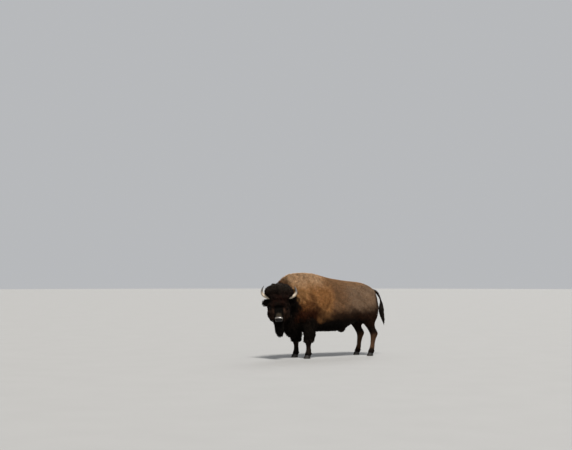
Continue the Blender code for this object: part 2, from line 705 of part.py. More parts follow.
# ---------------------------------------------------------------- parting the body
def cut_feet(flesh):
    """Trim the hair of each foot along the top of its hoof."""
    for leg in LEGS:
        across, along = FOOT_CLEAR
        plane = hoof_plane(hoof_middle(leg))
        below = block("below", (-across, -along, -FAR), (across, along, 0.0), plane)
        boolean(flesh, below, "DIFFERENCE")
        drop(below)


def leg_region(leg):
    """An upright oval column with a domed top: what lies inside it is the upper leg."""
    fore = leg.name.startswith("fore")
    half_x, half_y, lean, flat_top, dome_top = FORE_REGION if fore else HIND_REGION
    rings = []
    for step in range(REGION_STEPS + 1):
        rise = step / REGION_STEPS
        shrink = math.sqrt(1.0 - (0.97 * rise) ** 2)
        height = flat_top + (dome_top - flat_top) * rise
        rings.append(oval(leg, half_x * shrink, half_y * shrink, lean * rise, height))
    rings.insert(0, oval(leg, half_x, half_y, 0.0, leg.cut_height))
    return loft("leg_region", rings)


def oval(leg, half_x, half_y, back, height):
    middle = Vector((REGION_OUT * leg.side, leg.y + back, height))
    ring = []
    for k in range(REGION_POINTS):
        angle = 2 * math.pi * k / REGION_POINTS
        ring.append(middle + Vector((math.cos(angle) * half_x, math.sin(angle) * half_y, 0.0)))
    return ring


def part_legs(flesh):
    pieces = []
    for leg in LEGS:
        near, far = sorted(reach * leg.side for reach in LEG_REACH)
        front, back = leg.y - LEG_CLEAR, leg.y + LEG_CLEAR
        lower = block("shank_region", (near, front, -FAR), (far, back, leg.cut_height))
        pieces.append(carve(flesh, lower, leg.name + "_lower"))
        pieces.append(carve(flesh, leg_region(leg), leg.name + "_upper"))
    return pieces


def part_tail(flesh):
    tuft = block("tuft_region", (-FAR, TAIL_BEHIND, 0.0), (FAR, FAR, TAIL_CUTS[1]))
    lower = block("tail_region", (-FAR, TAIL_BEHIND, TAIL_CUTS[1]), (FAR, FAR, TAIL_CUTS[0]))
    root = Matrix.Translation(TAIL_ROOT) @ Matrix.Rotation(math.radians(TAIL_ROOT_TILT), 4, "X")
    upper = block("root_region", *TAIL_ROOT_BLOCK, root)
    regions = ((tuft, "tail_tuft"), (lower, "tail_lower"), (upper, "tail_upper"))
    return [carve(flesh, region, name) for region, name in regions]


def part_head(flesh):
    """The head lies ahead of an upright plane behind the jaw; the beard lies below the chin."""
    upright = upright_frame()
    low, high = BEARD_BLOCK
    beard = block("beard_region", (*low, -FAR), (*high, BEARD_TOP - HEAD_CENTRE.z), upright)
    turn = Matrix.Translation(NECK_PIVOT) @ Matrix.Rotation(math.radians(NECK_CUT_TURN), 4, "Z")
    head = block("head_region", (-FAR, -FAR, 0.0), (FAR, 0.0, FAR), turn)
    return [carve(flesh, beard, "beard"), carve(flesh, head, "head")]


def part_trunk(flesh):
    neck = block("neck_region", (-FAR, -FAR, 0.0), (FAR, NECK_START, FAR))
    rear = block("rear_region", (-FAR, REAR_START, 0.0), (FAR, FAR, FAR))
    return [carve(flesh, neck, "neck"), carve(flesh, rear, "trunk_rear")]


# ---------------------------------------------------------------- the whole animal
def stand_on_origin(things):
    """Shift everything so that the middle of the bounding box's floor is the origin."""
    corners = np.array([vertex.co for thing in things for vertex in thing.data.vertices])
    low, high = corners.min(axis=0), corners.max(axis=0)
    shift = Matrix.Translation((-(low[0] + high[0]) / 2, -(low[1] + high[1]) / 2, 0.0))
    for thing in things:
        thing.data.transform(shift)


def build():
    clear_scene()
    horns = [horn(1, "horn_left"), horn(-1, "horn_right")]
    eyes = [eye(1, "eye_left"), eye(-1, "eye_right")]
    ears = [ear_form(1), ear_form(-1)]
    ears[0].name, ears[1].name = "ear_left", "ear_right"

    flesh = fuse(body_forms() + [leg_form(leg) for leg in LEGS] + head_forms() + [tail_form()])
    dewclaws = []
    for leg in LEGS:
        for outer, place in ((True, "outer"), (False, "inner")):
            dewclaws.append(dewclaw(leg, outer, leg.name + "_dewclaw_" + place))
    for insert in horns + eyes + dewclaws:
        wider = grown(insert, SOCKET_GAP)
        boolean(flesh, wider, "DIFFERENCE")
        drop(wider)
    wider = grown(flesh, SOCKET_GAP)
    for ear in ears:
        keep_largest(boolean(ear, wider, "DIFFERENCE"))
    drop(wider)
    cut_feet(flesh)
    fur = part_tail(flesh) + part_head(flesh) + part_legs(flesh) + part_trunk(flesh)
    keep_largest(flesh)
    flesh.name = "trunk_front"
    fur.append(flesh)

    hooves = []
    for leg in LEGS:
        for outer, place in ((True, "outer"), (False, "inner")):
            hooves.append(claw(leg, outer, leg.name + "_claw_" + place))

    dark = ("head", "beard", "tail", "foreleg", "hindleg")
    for piece in fur + ears:
        finish_node(piece, "fur_dark" if piece.name.startswith(dark) or piece in ears else "fur_brown")
    for piece in horns:
        finish_node(piece, "horn")
    for piece in eyes:
        finish_node(piece, "eye")
    for piece in hooves + dewclaws:
        finish_node(piece, "hoof")
    stand_on_origin(fur + ears + horns + eyes + hooves + dewclaws)


build()
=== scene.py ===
"""A life-size bison bull in summer coat: one skin under locks of wool, with horns, eyes and hooves.

Metres, +Z up. The animal faces -Y and turns its head to its left. The skin is the solids' outline moved
inwards by the coat's depth, and solid locks of hair grow from it back out to that outline.
"""

import math
from collections import namedtuple

import bmesh
import bpy
import numpy as np
from mathutils import Matrix, Vector
from mathutils.bvhtree import BVHTree
from mathutils.kdtree import KDTree


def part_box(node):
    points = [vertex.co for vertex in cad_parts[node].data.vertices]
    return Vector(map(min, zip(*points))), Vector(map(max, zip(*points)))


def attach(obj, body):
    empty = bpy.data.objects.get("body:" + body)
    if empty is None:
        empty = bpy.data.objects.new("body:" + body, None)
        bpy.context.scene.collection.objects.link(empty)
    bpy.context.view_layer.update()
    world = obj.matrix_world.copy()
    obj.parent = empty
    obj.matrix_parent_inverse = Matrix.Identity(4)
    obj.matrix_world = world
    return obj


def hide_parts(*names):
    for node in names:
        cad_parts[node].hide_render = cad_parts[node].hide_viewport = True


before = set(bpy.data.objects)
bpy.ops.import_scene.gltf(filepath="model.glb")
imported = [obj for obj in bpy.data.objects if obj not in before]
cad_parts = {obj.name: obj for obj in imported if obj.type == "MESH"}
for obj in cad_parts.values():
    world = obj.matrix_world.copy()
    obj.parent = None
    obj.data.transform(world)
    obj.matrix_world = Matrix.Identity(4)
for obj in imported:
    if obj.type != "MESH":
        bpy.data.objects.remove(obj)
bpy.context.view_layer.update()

# ---------------------------------------------------------------- landmarks taken from the frame
FACE_SLOPE = 52.0              # slope of the face below the horizontal, degrees
EYE_PLACE = (0.167, 0.205, -0.040)             # left eye in face axes: aside, down the face, out
HORN_ROOT_REACH = (0.190, 0.290)               # the horn's root lies between these distances aside
REAR_START = 0.56              # the rear trunk starts this far behind the line of the fore hooves
NECK_PIVOT = (0.150, -0.635)   # a point under the cut between head and neck, in body axes
NECK_CUT_TURN = 40.0           # turn of that cut to the animal's left, degrees
LEGS = ("foreleg_left", "foreleg_right", "hindleg_left", "hindleg_right")
SIDES = (("left", 1), ("right", -1))
UP = np.array((0.0, 0.0, 1.0))


def unit(vectors):
    """Vectors made one long; a row of zeros stays as it is."""
    length = np.linalg.norm(vectors, axis=-1, keepdims=True)
    return vectors / np.maximum(length, 1e-12)


def middle_of(node):
    low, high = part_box(node)
    return np.array((low + high) / 2)


EYE_MIDDLES = {side: middle_of("eye_" + side) for side, _ in SIDES}
ASIDE = unit((EYE_MIDDLES["left"] - EYE_MIDDLES["right"]) * (1, 1, 0))
AHEAD = np.array((ASIDE[1], -ASIDE[0], 0.0))
DOWN_FACE = AHEAD * math.cos(math.radians(FACE_SLOPE)) - UP * math.sin(math.radians(FACE_SLOPE))
OUT_FACE = AHEAD * math.sin(math.radians(FACE_SLOPE)) + UP * math.cos(math.radians(FACE_SLOPE))
HEAD = (EYE_MIDDLES["left"] + EYE_MIDDLES["right"]) / 2 - DOWN_FACE * EYE_PLACE[1] - OUT_FACE * EYE_PLACE[2]
BODY = np.array((middle_of("trunk_rear")[0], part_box("trunk_rear")[0].y - REAR_START, 0.0))
BEARD = np.array(middle_of("beard"))

# ---------------------------------------------------------------- the skin
FLESH = ("head", "beard", "neck", "trunk_front", "trunk_rear", "tail_upper", "tail_lower", "tail_tuft",
         *(leg + part for leg in LEGS for part in ("_upper", "_lower")))
EARS = ("ear_left", "ear_right")
SEAM_CLOSE = 0.0012            # the pieces swell by this so that their seams close
SKIN_GRAIN = 0.0145            # size of the skin's faces
SKIN_SOFTENING = 29            # smoothing passes over the trunk
FACE_SOFTENING = 6             # further passes over everything, also over head, legs and tail
INSET_STEPS = 6                # the skin moves inwards by the coat's depth in this many steps
SEED = 11

# ---------------------------------------------------------------- the coat
# depth is how far the skin lies under the outline and rise how high a lock's tip stands over the skin;
# length, width and curl are a lock's sizes; turns its turns of curl; cling how closely it follows the
# skin; hang how far it gives way to its weight; spread the number of locks on a square metre; joints the
# number of bends along it.
Coat = namedtuple("Coat", "depth rise length width curl turns cling hang spread joints")
COATS = {
    "flank": Coat(0.009, 0.009, 0.034, 0.0078, 0.000, 0.0, 1.00, 0.00, 7200, 2),
    "cape": Coat(0.024, 0.026, 0.052, 0.0076, 0.0050, 0.8, 0.90, 0.10, 14000, 3),
    "belly": Coat(0.026, 0.026, 0.075, 0.0110, 0.004, 0.5, 0.45, 0.80, 5600, 4),
    "bib": Coat(0.045, 0.045, 0.095, 0.0130, 0.009, 1.0, 0.55, 0.70, 5600, 4),
    "chaps": Coat(0.040, 0.040, 0.080, 0.0120, 0.010, 1.0, 0.65, 0.50, 6800, 4),
    "thigh": Coat(0.011, 0.011, 0.040, 0.0082, 0.002, 0.3, 1.00, 0.10, 7600, 2),
    "shank": Coat(0.005, 0.005, 0.020, 0.0048, 0.000, 0.0, 1.00, 0.00, 12000, 2),
    "pastern": Coat(0.003, 0.011, 0.032, 0.0062, 0.002, 0.3, 0.40, 0.70, 15000, 2),
    "tail": Coat(0.002, 0.009, 0.034, 0.0052, 0.000, 0.0, 1.00, 0.00, 15000, 2),
    "switch": Coat(0.004, 0.030, 0.230, 0.0100, 0.010, 1.1, 0.05, 0.85, 20000, 6),
    "mop": Coat(0.050, 0.056, 0.095, 0.0115, 0.0150, 1.0, 0.80, 0.25, 17000, 6),
    "forehead": Coat(0.034, 0.034, 0.062, 0.0092, 0.0110, 0.9, 0.85, 0.30, 19000, 6),
    "face": Coat(0.004, 0.0040, 0.016, 0.0028, 0.000, 0.0, 1.00, 0.00, 48000, 2),
    "cheek": Coat(0.026, 0.031, 0.066, 0.0105, 0.0075, 1.0, 0.75, 0.35, 11000, 4),
    "beard": Coat(0.006, 0.044, 0.090, 0.0105, 0.010, 0.9, 0.10, 0.90, 18000, 6),
    "ear": Coat(0.000, 0.021, 0.050, 0.0050, 0.003, 0.4, 0.30, 0.25, 22000, 2),
}
REGIONS = tuple(COATS)
# the tail's switch from its tip up: height, middle aside and back, and half width
SWITCH = np.array((
    (0.640, 0.092, 2.006, 0.002),
    (0.690, 0.088, 2.001, 0.012),
    (0.755, 0.078, 1.990, 0.026),
    (0.820, 0.068, 1.976, 0.040),
    (0.890, 0.060, 1.964, 0.050),
    (0.955, 0.054, 1.958, 0.055),
    (1.020, 0.048, 1.956, 0.053),
    (1.090, 0.044, 1.960, 0.043),
    (1.155, 0.036, 1.961, 0.030),
    (1.220, 0.025, 1.944, 0.021),
))
MAX_TRIANGLES = 190_000        # of one piece of coat
PATCH = 0.003                  # width of a lock's patch on the unwrap of the skin

# ---------------------------------------------------------------- tones of the coat, as screen values
TONES = {
    "back": (126, 94, 65), "loin": (133, 108, 86), "mid_flank": (120, 89, 63), "flank": (165, 117, 72),
    "hump": (176, 144, 111), "shoulder": (177, 131, 85), "shoulder_low": (98, 58, 29), "shoulder_crease_shade": (78, 48, 27),
    "cape_low": (58, 30, 16), "low_flank": (52, 35, 24), "belly": (24, 18, 13), "rump_edge_dark_hair_and_shade": (30, 21, 17),
    "thigh": (50, 31, 20), "hock": (34, 23, 17), "hind_shank": (90, 64, 45), "fore_shank": (42, 31, 25),
    "chaps": (21, 16, 12), "bib": (22, 12, 8), "crown": (39, 33, 28), "mop": (25, 17, 13),
    "forehead": (34, 17, 11), "face": (9, 6, 4), "beside_nose": (84, 61, 49), "eye_patch": (70, 55, 48),
    "painted_bridge_sheen": (70, 62, 52), "nose": (9, 8, 8), "nose_top_dust_and_highlight": (78, 72, 67), "wing": (78, 66, 57),
    "nostril": (7, 6, 5), "eye_rim": (17, 12, 10), "cheek": (23, 17, 13),
    "beard": (13, 10, 8), "ear": (24, 18, 14), "nape": (74, 48, 30), "tail": (27, 19, 15),
    "switch": (30, 25, 22),
}


def linear(tone):
    """A tone given as eight-bit screen values, in linear light."""
    value = np.array(TONES[tone]) / 255.0
    return np.where(value <= 0.04045, value / 12.92, ((value + 0.055) / 1.055) ** 2.4)


# ---------------------------------------------------------------- fields over the body
Places = namedtuple("Places", "x y z aside down out ahead up past_neck")


def places(points):
    """Each point in body axes, in face axes and in upright axes of the head."""
    body = points - BODY
    head = points - HEAD
    turn = math.radians(NECK_CUT_TURN)
    past_neck = (body[:, 0] - NECK_PIVOT[0]) * math.sin(turn) - (body[:, 1] - NECK_PIVOT[1]) * math.cos(turn)
    return Places(*body.T, head @ ASIDE, head @ DOWN_FACE, head @ OUT_FACE, head @ AHEAD, head[:, 2],
                  past_neck)


def ramp(value, start, end):
    """0 before start and 1 past end, with soft shoulders; start may be the larger."""
    t = np.clip((value - start) / (end - start), 0.0, 1.0)
    return t * t * (3.0 - 2.0 * t)


def ripple(points, size, seed):
    """A smooth wandering value between about -1 and 1, whose lumps are about size across."""
    draw = np.random.default_rng(seed)
    total = np.zeros(len(points))
    for _ in range(7):
        direction = unit(draw.normal(size=3))
        pitch = (2 * math.pi / size) * draw.uniform(0.6, 1.5)
        total += np.sin(points @ direction * pitch + draw.uniform(0, 6.3))
    return total / 2.6


def head_mask(p):
    return ramp(p.past_neck, -0.020, 0.035) * ramp(p.z, 0.66, 0.72)


def under_jaw(p, mask):
    """The part of a mask that lies where the beard hangs."""
    return mask * ramp(p.past_neck, -0.16, -0.10) * ramp(p.ahead, -0.16, -0.10)


def tail_mask(p):
    return ramp(p.y, 1.812, 1.845)


def eye_gap(p):
    """The distance to the nearer eye's middle."""
    return np.sqrt((np.abs(p.aside) - EYE_PLACE[0]) ** 2 + (p.down - EYE_PLACE[1]) ** 2
                   + (p.out - EYE_PLACE[2]) ** 2)


def lid_gap(p):
    """The distance to the nearer eye's middle, counted longer across the slit of its lids."""
    return np.sqrt((0.6 * (np.abs(p.aside) - EYE_PLACE[0])) ** 2 + (p.down - EYE_PLACE[1]) ** 2
                   + (1.6 * (p.out - EYE_PLACE[2])) ** 2)


def horn_gap(p):
    """The distance to the nearer horn's root, as it leaves the hair."""
    along = np.clip(np.abs(p.aside), *HORN_ROOT_REACH)
    return np.sqrt((np.abs(p.aside) - along) ** 2 + (p.ahead + 0.026) ** 2 + (p.up - 0.020) ** 2)


def face_front(p):
    """The short-haired front of the face, from between the eyes to the nose."""
    return (ramp(p.down, 0.165, 0.235) * ramp(p.out, -0.235, -0.165)
            * ramp(p.down - 0.8 * np.abs(p.aside), 0.02, 0.09))


def region_masks(p, ears):
    """How far each kind of coat covers what was laid before it."""
    cape_edge = 0.24 + 0.20 * ramp(p.z, 0.85, 1.30)
    fore = ramp(p.y, 0.80, 0.70)
    head = head_mask(p)
    tail = tail_mask(p)
    low_head = under_jaw(p, ramp(p.z, 0.80, 0.73))
    return (
        ("cape", ramp(p.y, cape_edge + 0.10, cape_edge - 0.12)),
        ("belly", ramp(p.z, 0.73, 0.64) * ramp(p.y, -0.05, 0.10) * ramp(p.y, 1.50, 1.36)),
        ("bib", ramp(p.y, 0.00, -0.20) * ramp(p.z, 1.12, 0.90)),
        ("chaps", fore * ramp(p.z, 0.96, 0.80) * ramp(np.abs(p.y - 0.02), 0.29, 0.20)
         * ramp(np.abs(p.x), 0.07, 0.13)),
        ("thigh", ramp(p.y, 1.14, 1.28) * ramp(p.z, 1.00, 0.84)),
        ("shank", np.maximum(fore * ramp(p.z, 0.41, 0.34), (1 - fore) * ramp(p.z, 0.62, 0.50))),
        ("pastern", ramp(p.z, 0.145, 0.105)),
        ("tail", tail),
        ("switch", tail * ramp(p.z, 1.22, 1.12)),
        ("cheek", head),
        ("mop", head * ramp(p.up, -0.03, 0.05)),
        ("forehead", head * ramp(p.down, 0.235, 0.165) * ramp(p.out, -0.10, -0.03) * ramp(p.up, 0.08, 0.0)),
        ("face", head * np.maximum(face_front(p), ramp(eye_gap(p), 0.078, 0.052))),
        ("beard", ramp(p.z, 0.79, 0.72) * low_head),
        ("ear", ears),
    )


def region_shares(p, ears):
    """For each point, the share of every kind of coat; the shares add up to one."""
    shares = np.zeros((len(p.x), len(REGIONS)))
    shares[:, REGIONS.index("flank")] = 1.0
    for name, mask in region_masks(p, ears):
        shares *= (1.0 - mask)[:, None]
        shares[:, REGIONS.index(name)] += mask
    return shares


def coat_value(shares, name):
    return shares @ np.array([getattr(COATS[region], name) for region in REGIONS], dtype=float)


def woolliness(shares):
    """0 for short flat hair and 1 for long wool."""
    return np.clip((coat_value(shares, "length") - 0.030) / 0.030, 0.0, 1.0)


def switch_axis(heights):
    """Where the middle line of the tail's switch passes each height: it trails back and to the left."""
    aside, back = (np.interp(heights, SWITCH[:, 0], SWITCH[:, k]) for k in (1, 2))
    return np.stack((aside, back), axis=-1) + BODY[:2]


def rows_of(*columns):
    return np.stack(columns, axis=1)


def lie_of_coat(points, p, shares):
    """The way the hair lies, before it is laid flat on the skin."""
    away = {}
    swing = ripple(points, 0.22, 5)
    flat = np.ones(len(points))
    sink = 0.30 + 0.75 * ramp(p.z, 1.15, 0.80)
    away["flank"] = rows_of(0.1 * swing, flat, -sink)
    sink = 0.75 + 0.6 * ramp(p.z, 1.45, 0.95) + 0.3 * swing
    away["cape"] = rows_of(0.2 * swing, flat, -sink)
    away["belly"] = rows_of(0.2 * swing, 0.6 * flat, -flat)
    away["bib"] = rows_of(0.3 * swing, -0.15 * flat, -flat)
    away["chaps"] = rows_of(0.3 * swing, 0.30 * flat, -flat)
    away["thigh"] = rows_of(0.1 * swing, 0.35 * flat, -flat)
    away["shank"] = rows_of(0 * flat, 0.10 * flat, -flat)
    away["pastern"] = away["shank"]
    away["tail"] = rows_of(0.1 * flat, 0.35 * flat, -flat)
    inward = (switch_axis(points[:, 2]) - points[:, :2]) * 6.0
    away["switch"] = np.concatenate((inward, -flat[:, None]), axis=1)
    crown = points - (HEAD + UP * 0.20 - AHEAD * 0.06)
    away["mop"] = unit(crown) * 1.0 - UP * 0.45 + AHEAD * 0.25 + ASIDE * 0.4 * swing[:, None]
    spread = (p.aside * 2.2)[:, None] * ASIDE
    away["forehead"] = DOWN_FACE * 1.0 + spread + ASIDE * 0.5 * swing[:, None]
    away["face"] = DOWN_FACE * 0.9 + spread * 1.6 - OUT_FACE * 0.35
    away["cheek"] = -UP * 1.0 - AHEAD * 0.25 + spread * 0.5 + ASIDE * 0.3 * swing[:, None]
    away["beard"] = np.tile(-UP, (len(points), 1)) + ASIDE * 0.2 * swing[:, None]
    fan = np.clip((p.up + 0.090) / 0.030, -1.0, 1.0)
    away["ear"] = ASIDE * np.sign(p.aside)[:, None] + UP * (np.where(fan > 0, 1.15, 0.70) * fan)[:, None]
    total = np.zeros((len(points), 3))
    for k, region in enumerate(REGIONS):
        total += shares[:, k, None] * unit(away[region])
    return unit(total)


def markings(points, p, ears):
    """The colour of the coat at each point, in linear light: the same for skin and hair."""
    drift = ripple(points, 0.34, 21)
    fine = ripple(points, 0.11, 22)
    head = head_mask(p)
    tail = tail_mask(p)
    z = p.z + 0.035 * drift + 0.018 * fine
    y = p.y + 0.03 * drift
    hind = ramp(p.y, 0.75, 0.90)
    layers = (
        ("flank", np.ones(len(points))),
        ("mid_flank", ramp(y, 0.40, 0.62)),
        ("loin", ramp(y, 0.72, 1.08)),
        ("back", ramp(z, 1.42, 1.60) * ramp(y, 0.30, 0.50) * 0.7),
        ("shoulder", ramp(y, 0.06, -0.16) * ramp(z, 1.00, 1.22)),
        ("shoulder_low", 0.85 * ramp(y, 0.12, -0.05) * ramp(z, 1.30, 1.14)),
        ("hump", ramp(z, 1.38, 1.66) * ramp(y, 0.55, 0.25)),
        # painted shade: a dark stripe down the crease at the shoulder's rear edge
        ("shoulder_crease_shade", 0.65 * np.exp(-((y - 0.02 + 0.16 * (z - 1.2)) / 0.058) ** 2) * ramp(z, 1.52, 1.25)),
        # partly dark hair and partly painted shade: a dark strip down the back edge of the rump, under the
        # tail
        ("rump_edge_dark_hair_and_shade", 0.9 * ramp(p.y + 0.02 * fine, 1.575, 1.72) * ramp(z, 1.41, 1.31)),
        ("low_flank", ramp(z, 1.17, 0.88) * ramp(y, 0.02, 0.22) * (0.6 + 0.4 * ramp(y, 0.35, 0.62))),
        ("cape_low", ramp(z, 1.16, 0.98) * ramp(y, 0.22, 0.08)),
        ("thigh", ramp(z, 0.98, 0.84) * ramp(y, 1.08, 1.22)),
        ("belly", ramp(z - 0.05 * ramp(y, 0.62, 0.34), 0.83, 0.73) * ramp(y, 1.50, 1.34)),
        ("bib", ramp(p.y, -0.19, -0.38) * ramp(z, 1.22, 1.02)),
        ("chaps", ramp(z, 0.78, 0.62) * ramp(p.y, 0.80, 0.70)),
        ("hock", hind * ramp(p.z, 0.70, 0.60)),
        ("hind_shank", hind * ramp(z, 0.56, 0.40) * ramp(z, 0.10, 0.24)),
        ("fore_shank", (1 - hind) * ramp(z, 0.42, 0.30) * (1 - head) * ramp(z, 0.08, 0.22)),
        ("tail", np.maximum(tail, ramp(p.y, 1.725, 1.775) * ramp(p.z, 1.375, 1.400)
                            * ramp(np.abs(p.x), 0.062, 0.040))),
        ("switch", tail * ramp(p.z, 1.24, 1.10)),
        ("nape", ramp(p.y, -0.34, -0.50) * ramp(z, 1.20, 1.34) * (1.0 - 0.5 * ramp(z, 1.50, 1.66))),
        ("cheek", np.maximum(head, ramp(p.past_neck + 0.02 * fine, -0.214, -0.170) * ramp(z, 1.53, 1.42))),
        ("mop", head * ramp(p.up, -0.04, 0.05)),
        ("crown", head * ramp(p.up, 0.14, 0.25)),
        ("forehead", head * ramp(p.down, 0.30, 0.16) * ramp(p.out, -0.10, -0.02) * ramp(p.up, 0.22, 0.02)
         * ramp(np.abs(p.aside) + 0.03 * fine, 0.19, 0.10) * (0.65 + 0.35 * fine)),
        ("face", head * face_front(p)),
        ("beside_nose", 0.8 * head * ramp(p.down, 0.17, 0.25) * ramp(np.abs(p.aside), 0.070, 0.115)
         * ramp(p.out, -0.28, -0.18) * ramp(p.down, 0.43, 0.33) * (0.75 + 0.25 * fine)),
        ("eye_patch", head * ramp(np.hypot(np.abs(p.aside) - 0.230, p.down - 0.240), 0.095, 0.045)
         * ramp(p.up, -0.03, -0.08) * ramp(p.out, -0.24, -0.12) * (0.65 + 0.35 * fine)),
        # painted sheen: a paler patch on the short hair of the bridge above the nose
        ("painted_bridge_sheen", head * ramp(p.down, 0.340, 0.395) * ramp(np.abs(p.aside), 0.075, 0.030)
         * ramp(p.out, -0.09, -0.04)),
        ("eye_rim", ramp(eye_gap(p), 0.052, 0.034)),
        ("nose", head * nose_pad(p)),
        # partly a dusty grey and partly a painted highlight: a paler top to the nose pad that widens its wet
        # shine
        ("nose_top_dust_and_highlight", head * nose_pad(p) * ramp(p.up - NOSTRIL_UP, 0.014, 0.034)),
        # painted light: a paler tone on the outer rims of the nostrils, as if lit
        ("wing", 0.85 * head * painted_light_on_nose_wings(p)),
        ("nostril", head * ramp(nostril_gap(p), 1.12, 0.80) * near_muzzle(p)),
        ("beard", under_jaw(p, ramp(p.z, 0.80, 0.72))),
        ("ear", ears),
    )
    colour = np.zeros((len(points), 3))
    for tone, mask in layers:
        colour += mask[:, None] * (linear(tone) - colour)
    return colour * (1.0 + 0.10 * drift + 0.07 * fine)[:, None]


# ---------------------------------------------------------------- plain mesh helpers
def add_object(name, data):
    thing = bpy.data.objects.new(name, data)
    bpy.context.scene.collection.objects.link(thing)
    return thing


def mesh_from(name, points, faces):
    """A mesh from arrays of points and of equal-sided faces."""
    mesh = bpy.data.meshes.new(name)
    sides = faces.shape[1]
    mesh.vertices.add(len(points))
    mesh.vertices.foreach_set("co", np.ascontiguousarray(points, dtype=np.float32).ravel())
    mesh.loops.add(faces.size)
    mesh.loops.foreach_set("vertex_index", np.ascontiguousarray(faces, dtype=np.int32).ravel())
    mesh.polygons.add(len(faces))
    mesh.polygons.foreach_set("loop_start", np.arange(0, faces.size, sides, dtype=np.int32))
    mesh.polygons.foreach_set("use_smooth", np.ones(len(faces), dtype=bool))
    mesh.update()
    mesh.validate()
    return mesh


def points_of(mesh):
    points = np.empty(len(mesh.vertices) * 3, dtype=np.float32)
    mesh.vertices.foreach_get("co", points)
    return points.reshape(-1, 3).astype(float)


def evaluated(thing):
    bpy.context.view_layer.update()
    view = thing.evaluated_get(bpy.context.evaluated_depsgraph_get())
    return bpy.data.meshes.new_from_object(view)


def drop(thing):
    bpy.data.objects.remove(thing, do_unlink=True)


def mesh_of(form, name):
    """A mesh from a form, which is freed."""
    mesh = bpy.data.meshes.new(name)
    form.to_mesh(mesh)
    form.free()
    return mesh


def rounded(mesh, levels):
    """A copy of a mesh, smoothed by this many rounds of subdivision."""
    thing = add_object("coarse", mesh)
    smooth = thing.modifiers.new("smooth", "SUBSURF")
    smooth.levels = levels
    smooth.render_levels = levels
    made = evaluated(thing)
    drop(thing)
    return made


def merged_form(node):
    """A CAD node's mesh with its loose triangles joined."""
    form = bmesh.new()
    form.from_mesh(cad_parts[node].data)
    bmesh.ops.remove_doubles(form, verts=form.verts, dist=1e-6)
    form.normal_update()
    return form


def vertex_normals(points, faces):
    """Area-weighted normals of a mesh given as arrays of points and three- or four-sided faces."""
    corner = points[faces]
    if faces.shape[1] == 4:
        face = np.cross(corner[:, 2] - corner[:, 0], corner[:, 3] - corner[:, 1])
    else:
        face = np.cross(corner[:, 1] - corner[:, 0], corner[:, 2] - corner[:, 0])
    normals = np.zeros_like(points)
    for side in range(faces.shape[1]):
        for axis in range(3):
            normals[:, axis] += np.bincount(faces[:, side], weights=face[:, axis], minlength=len(points))
    return unit(normals)


def edges_of(faces):
    """Each edge once, as pairs of points."""
    ends = np.concatenate([np.stack((faces[:, i], faces[:, (i + 1) % faces.shape[1]]), axis=1)
                           for i in range(faces.shape[1])])
    return np.unique(np.sort(ends, axis=1), axis=0)


def relaxed(points, edges, passes, amount):
    """Move each point towards the middle of its neighbours, by an amount from 0 to 1 for each."""
    one, two = edges.T
    size = len(points)
    count = np.maximum(np.bincount(edges.ravel(), minlength=size), 1)[:, None]
    points = points.copy()
    for _ in range(passes):
        total = np.empty_like(points)
        for axis in range(3):
            total[:, axis] = (np.bincount(one, weights=points[two, axis], minlength=size)
                              + np.bincount(two, weights=points[one, axis], minlength=size))
        points += amount[:, None] * (total / count - points)
    return points


# ---------------------------------------------------------------- skin: fuse, soften and sink
# balls that fill each horn's socket, aside, ahead and up from the head's middle
HORN_ROOT = ((0.110, -0.030, 0.003), (0.150, -0.029, 0.008), (0.185, -0.028, 0.014))
HORN_ROOT_RADIUS = 0.044


def upright_point(aside, ahead, up):
    return HEAD + ASIDE * aside + AHEAD * ahead + UP * up


def fused_flesh():
    """The flesh nodes melted into one closed surface, with the sockets of horns, eyes and dewclaws filled."""
    joined = bmesh.new()
    fillers = [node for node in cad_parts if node.startswith("eye_") or "dewclaw" in node]
    for node in (*FLESH, *fillers):
        form = merged_form(node)
        for vertex in form.verts:
            vertex.co += vertex.normal * SEAM_CLOSE
        copy = mesh_of(form, "copy")
        joined.from_mesh(copy)
        bpy.data.meshes.remove(copy)
    for _, side in SIDES:
        for aside, ahead, up in HORN_ROOT:
            place = Matrix.Translation(upright_point(aside * side, ahead, up))
            bmesh.ops.create_icosphere(joined, subdivisions=3, radius=HORN_ROOT_RADIUS, matrix=place)
    flesh = add_object("flesh", mesh_of(joined, "flesh"))
    melt = flesh.modifiers.new("melt", "REMESH")
    melt.mode = "VOXEL"
    melt.voxel_size = SKIN_GRAIN
    melted = evaluated(flesh)
    drop(flesh)
    return melted


def largest_body(points, faces, edges):
    """Keep the largest connected body of a mesh, and drop what the fusing left inside."""
    label = np.arange(len(points))
    while True:
        low = np.minimum(label[edges[:, 0]], label[edges[:, 1]])
        before = label.copy()
        np.minimum.at(label, edges[:, 0], low)
        np.minimum.at(label, edges[:, 1], low)
        label = label[label]
        if np.array_equal(before, label):
            break
    kept = label == np.bincount(label).argmax()
    number = np.cumsum(kept) - 1
    return points[kept], number[faces[kept[faces].all(axis=1)]]


def broad_share(p):
    """1 on the trunk, less on the mop, and 0 on the face, legs and tail, where detail has to stay."""
    trunk = ramp(p.z, 0.56, 0.82) * ramp(p.y, -0.62, -0.40) * ramp(p.y, 1.86, 1.76)
    mop = 0.5 * head_mask(p) * ramp(p.up, -0.06, 0.06)
    return np.maximum(trunk, mop)


def drawn_to_axis(points, p):
    """Draw the beard and the switch in towards their own middle lines and up: their outline is all hair."""
    low_head = under_jaw(p, ramp(p.z, 0.80, 0.70))
    points = points.copy()
    points[:, :2] += (BEARD[:2] - points[:, :2]) * (0.28 * low_head)[:, None]
    points[:, 2] += low_head * 0.27 * (0.74 - points[:, 2])
    tuft = tail_mask(p) * ramp(p.z, 1.09, 1.00)
    points[:, :2] += (switch_axis(points[:, 2]) - points[:, :2]) * (0.45 * tuft)[:, None]
    points[:, 2] += tuft * 0.16 * (1.08 - points[:, 2])
    return points


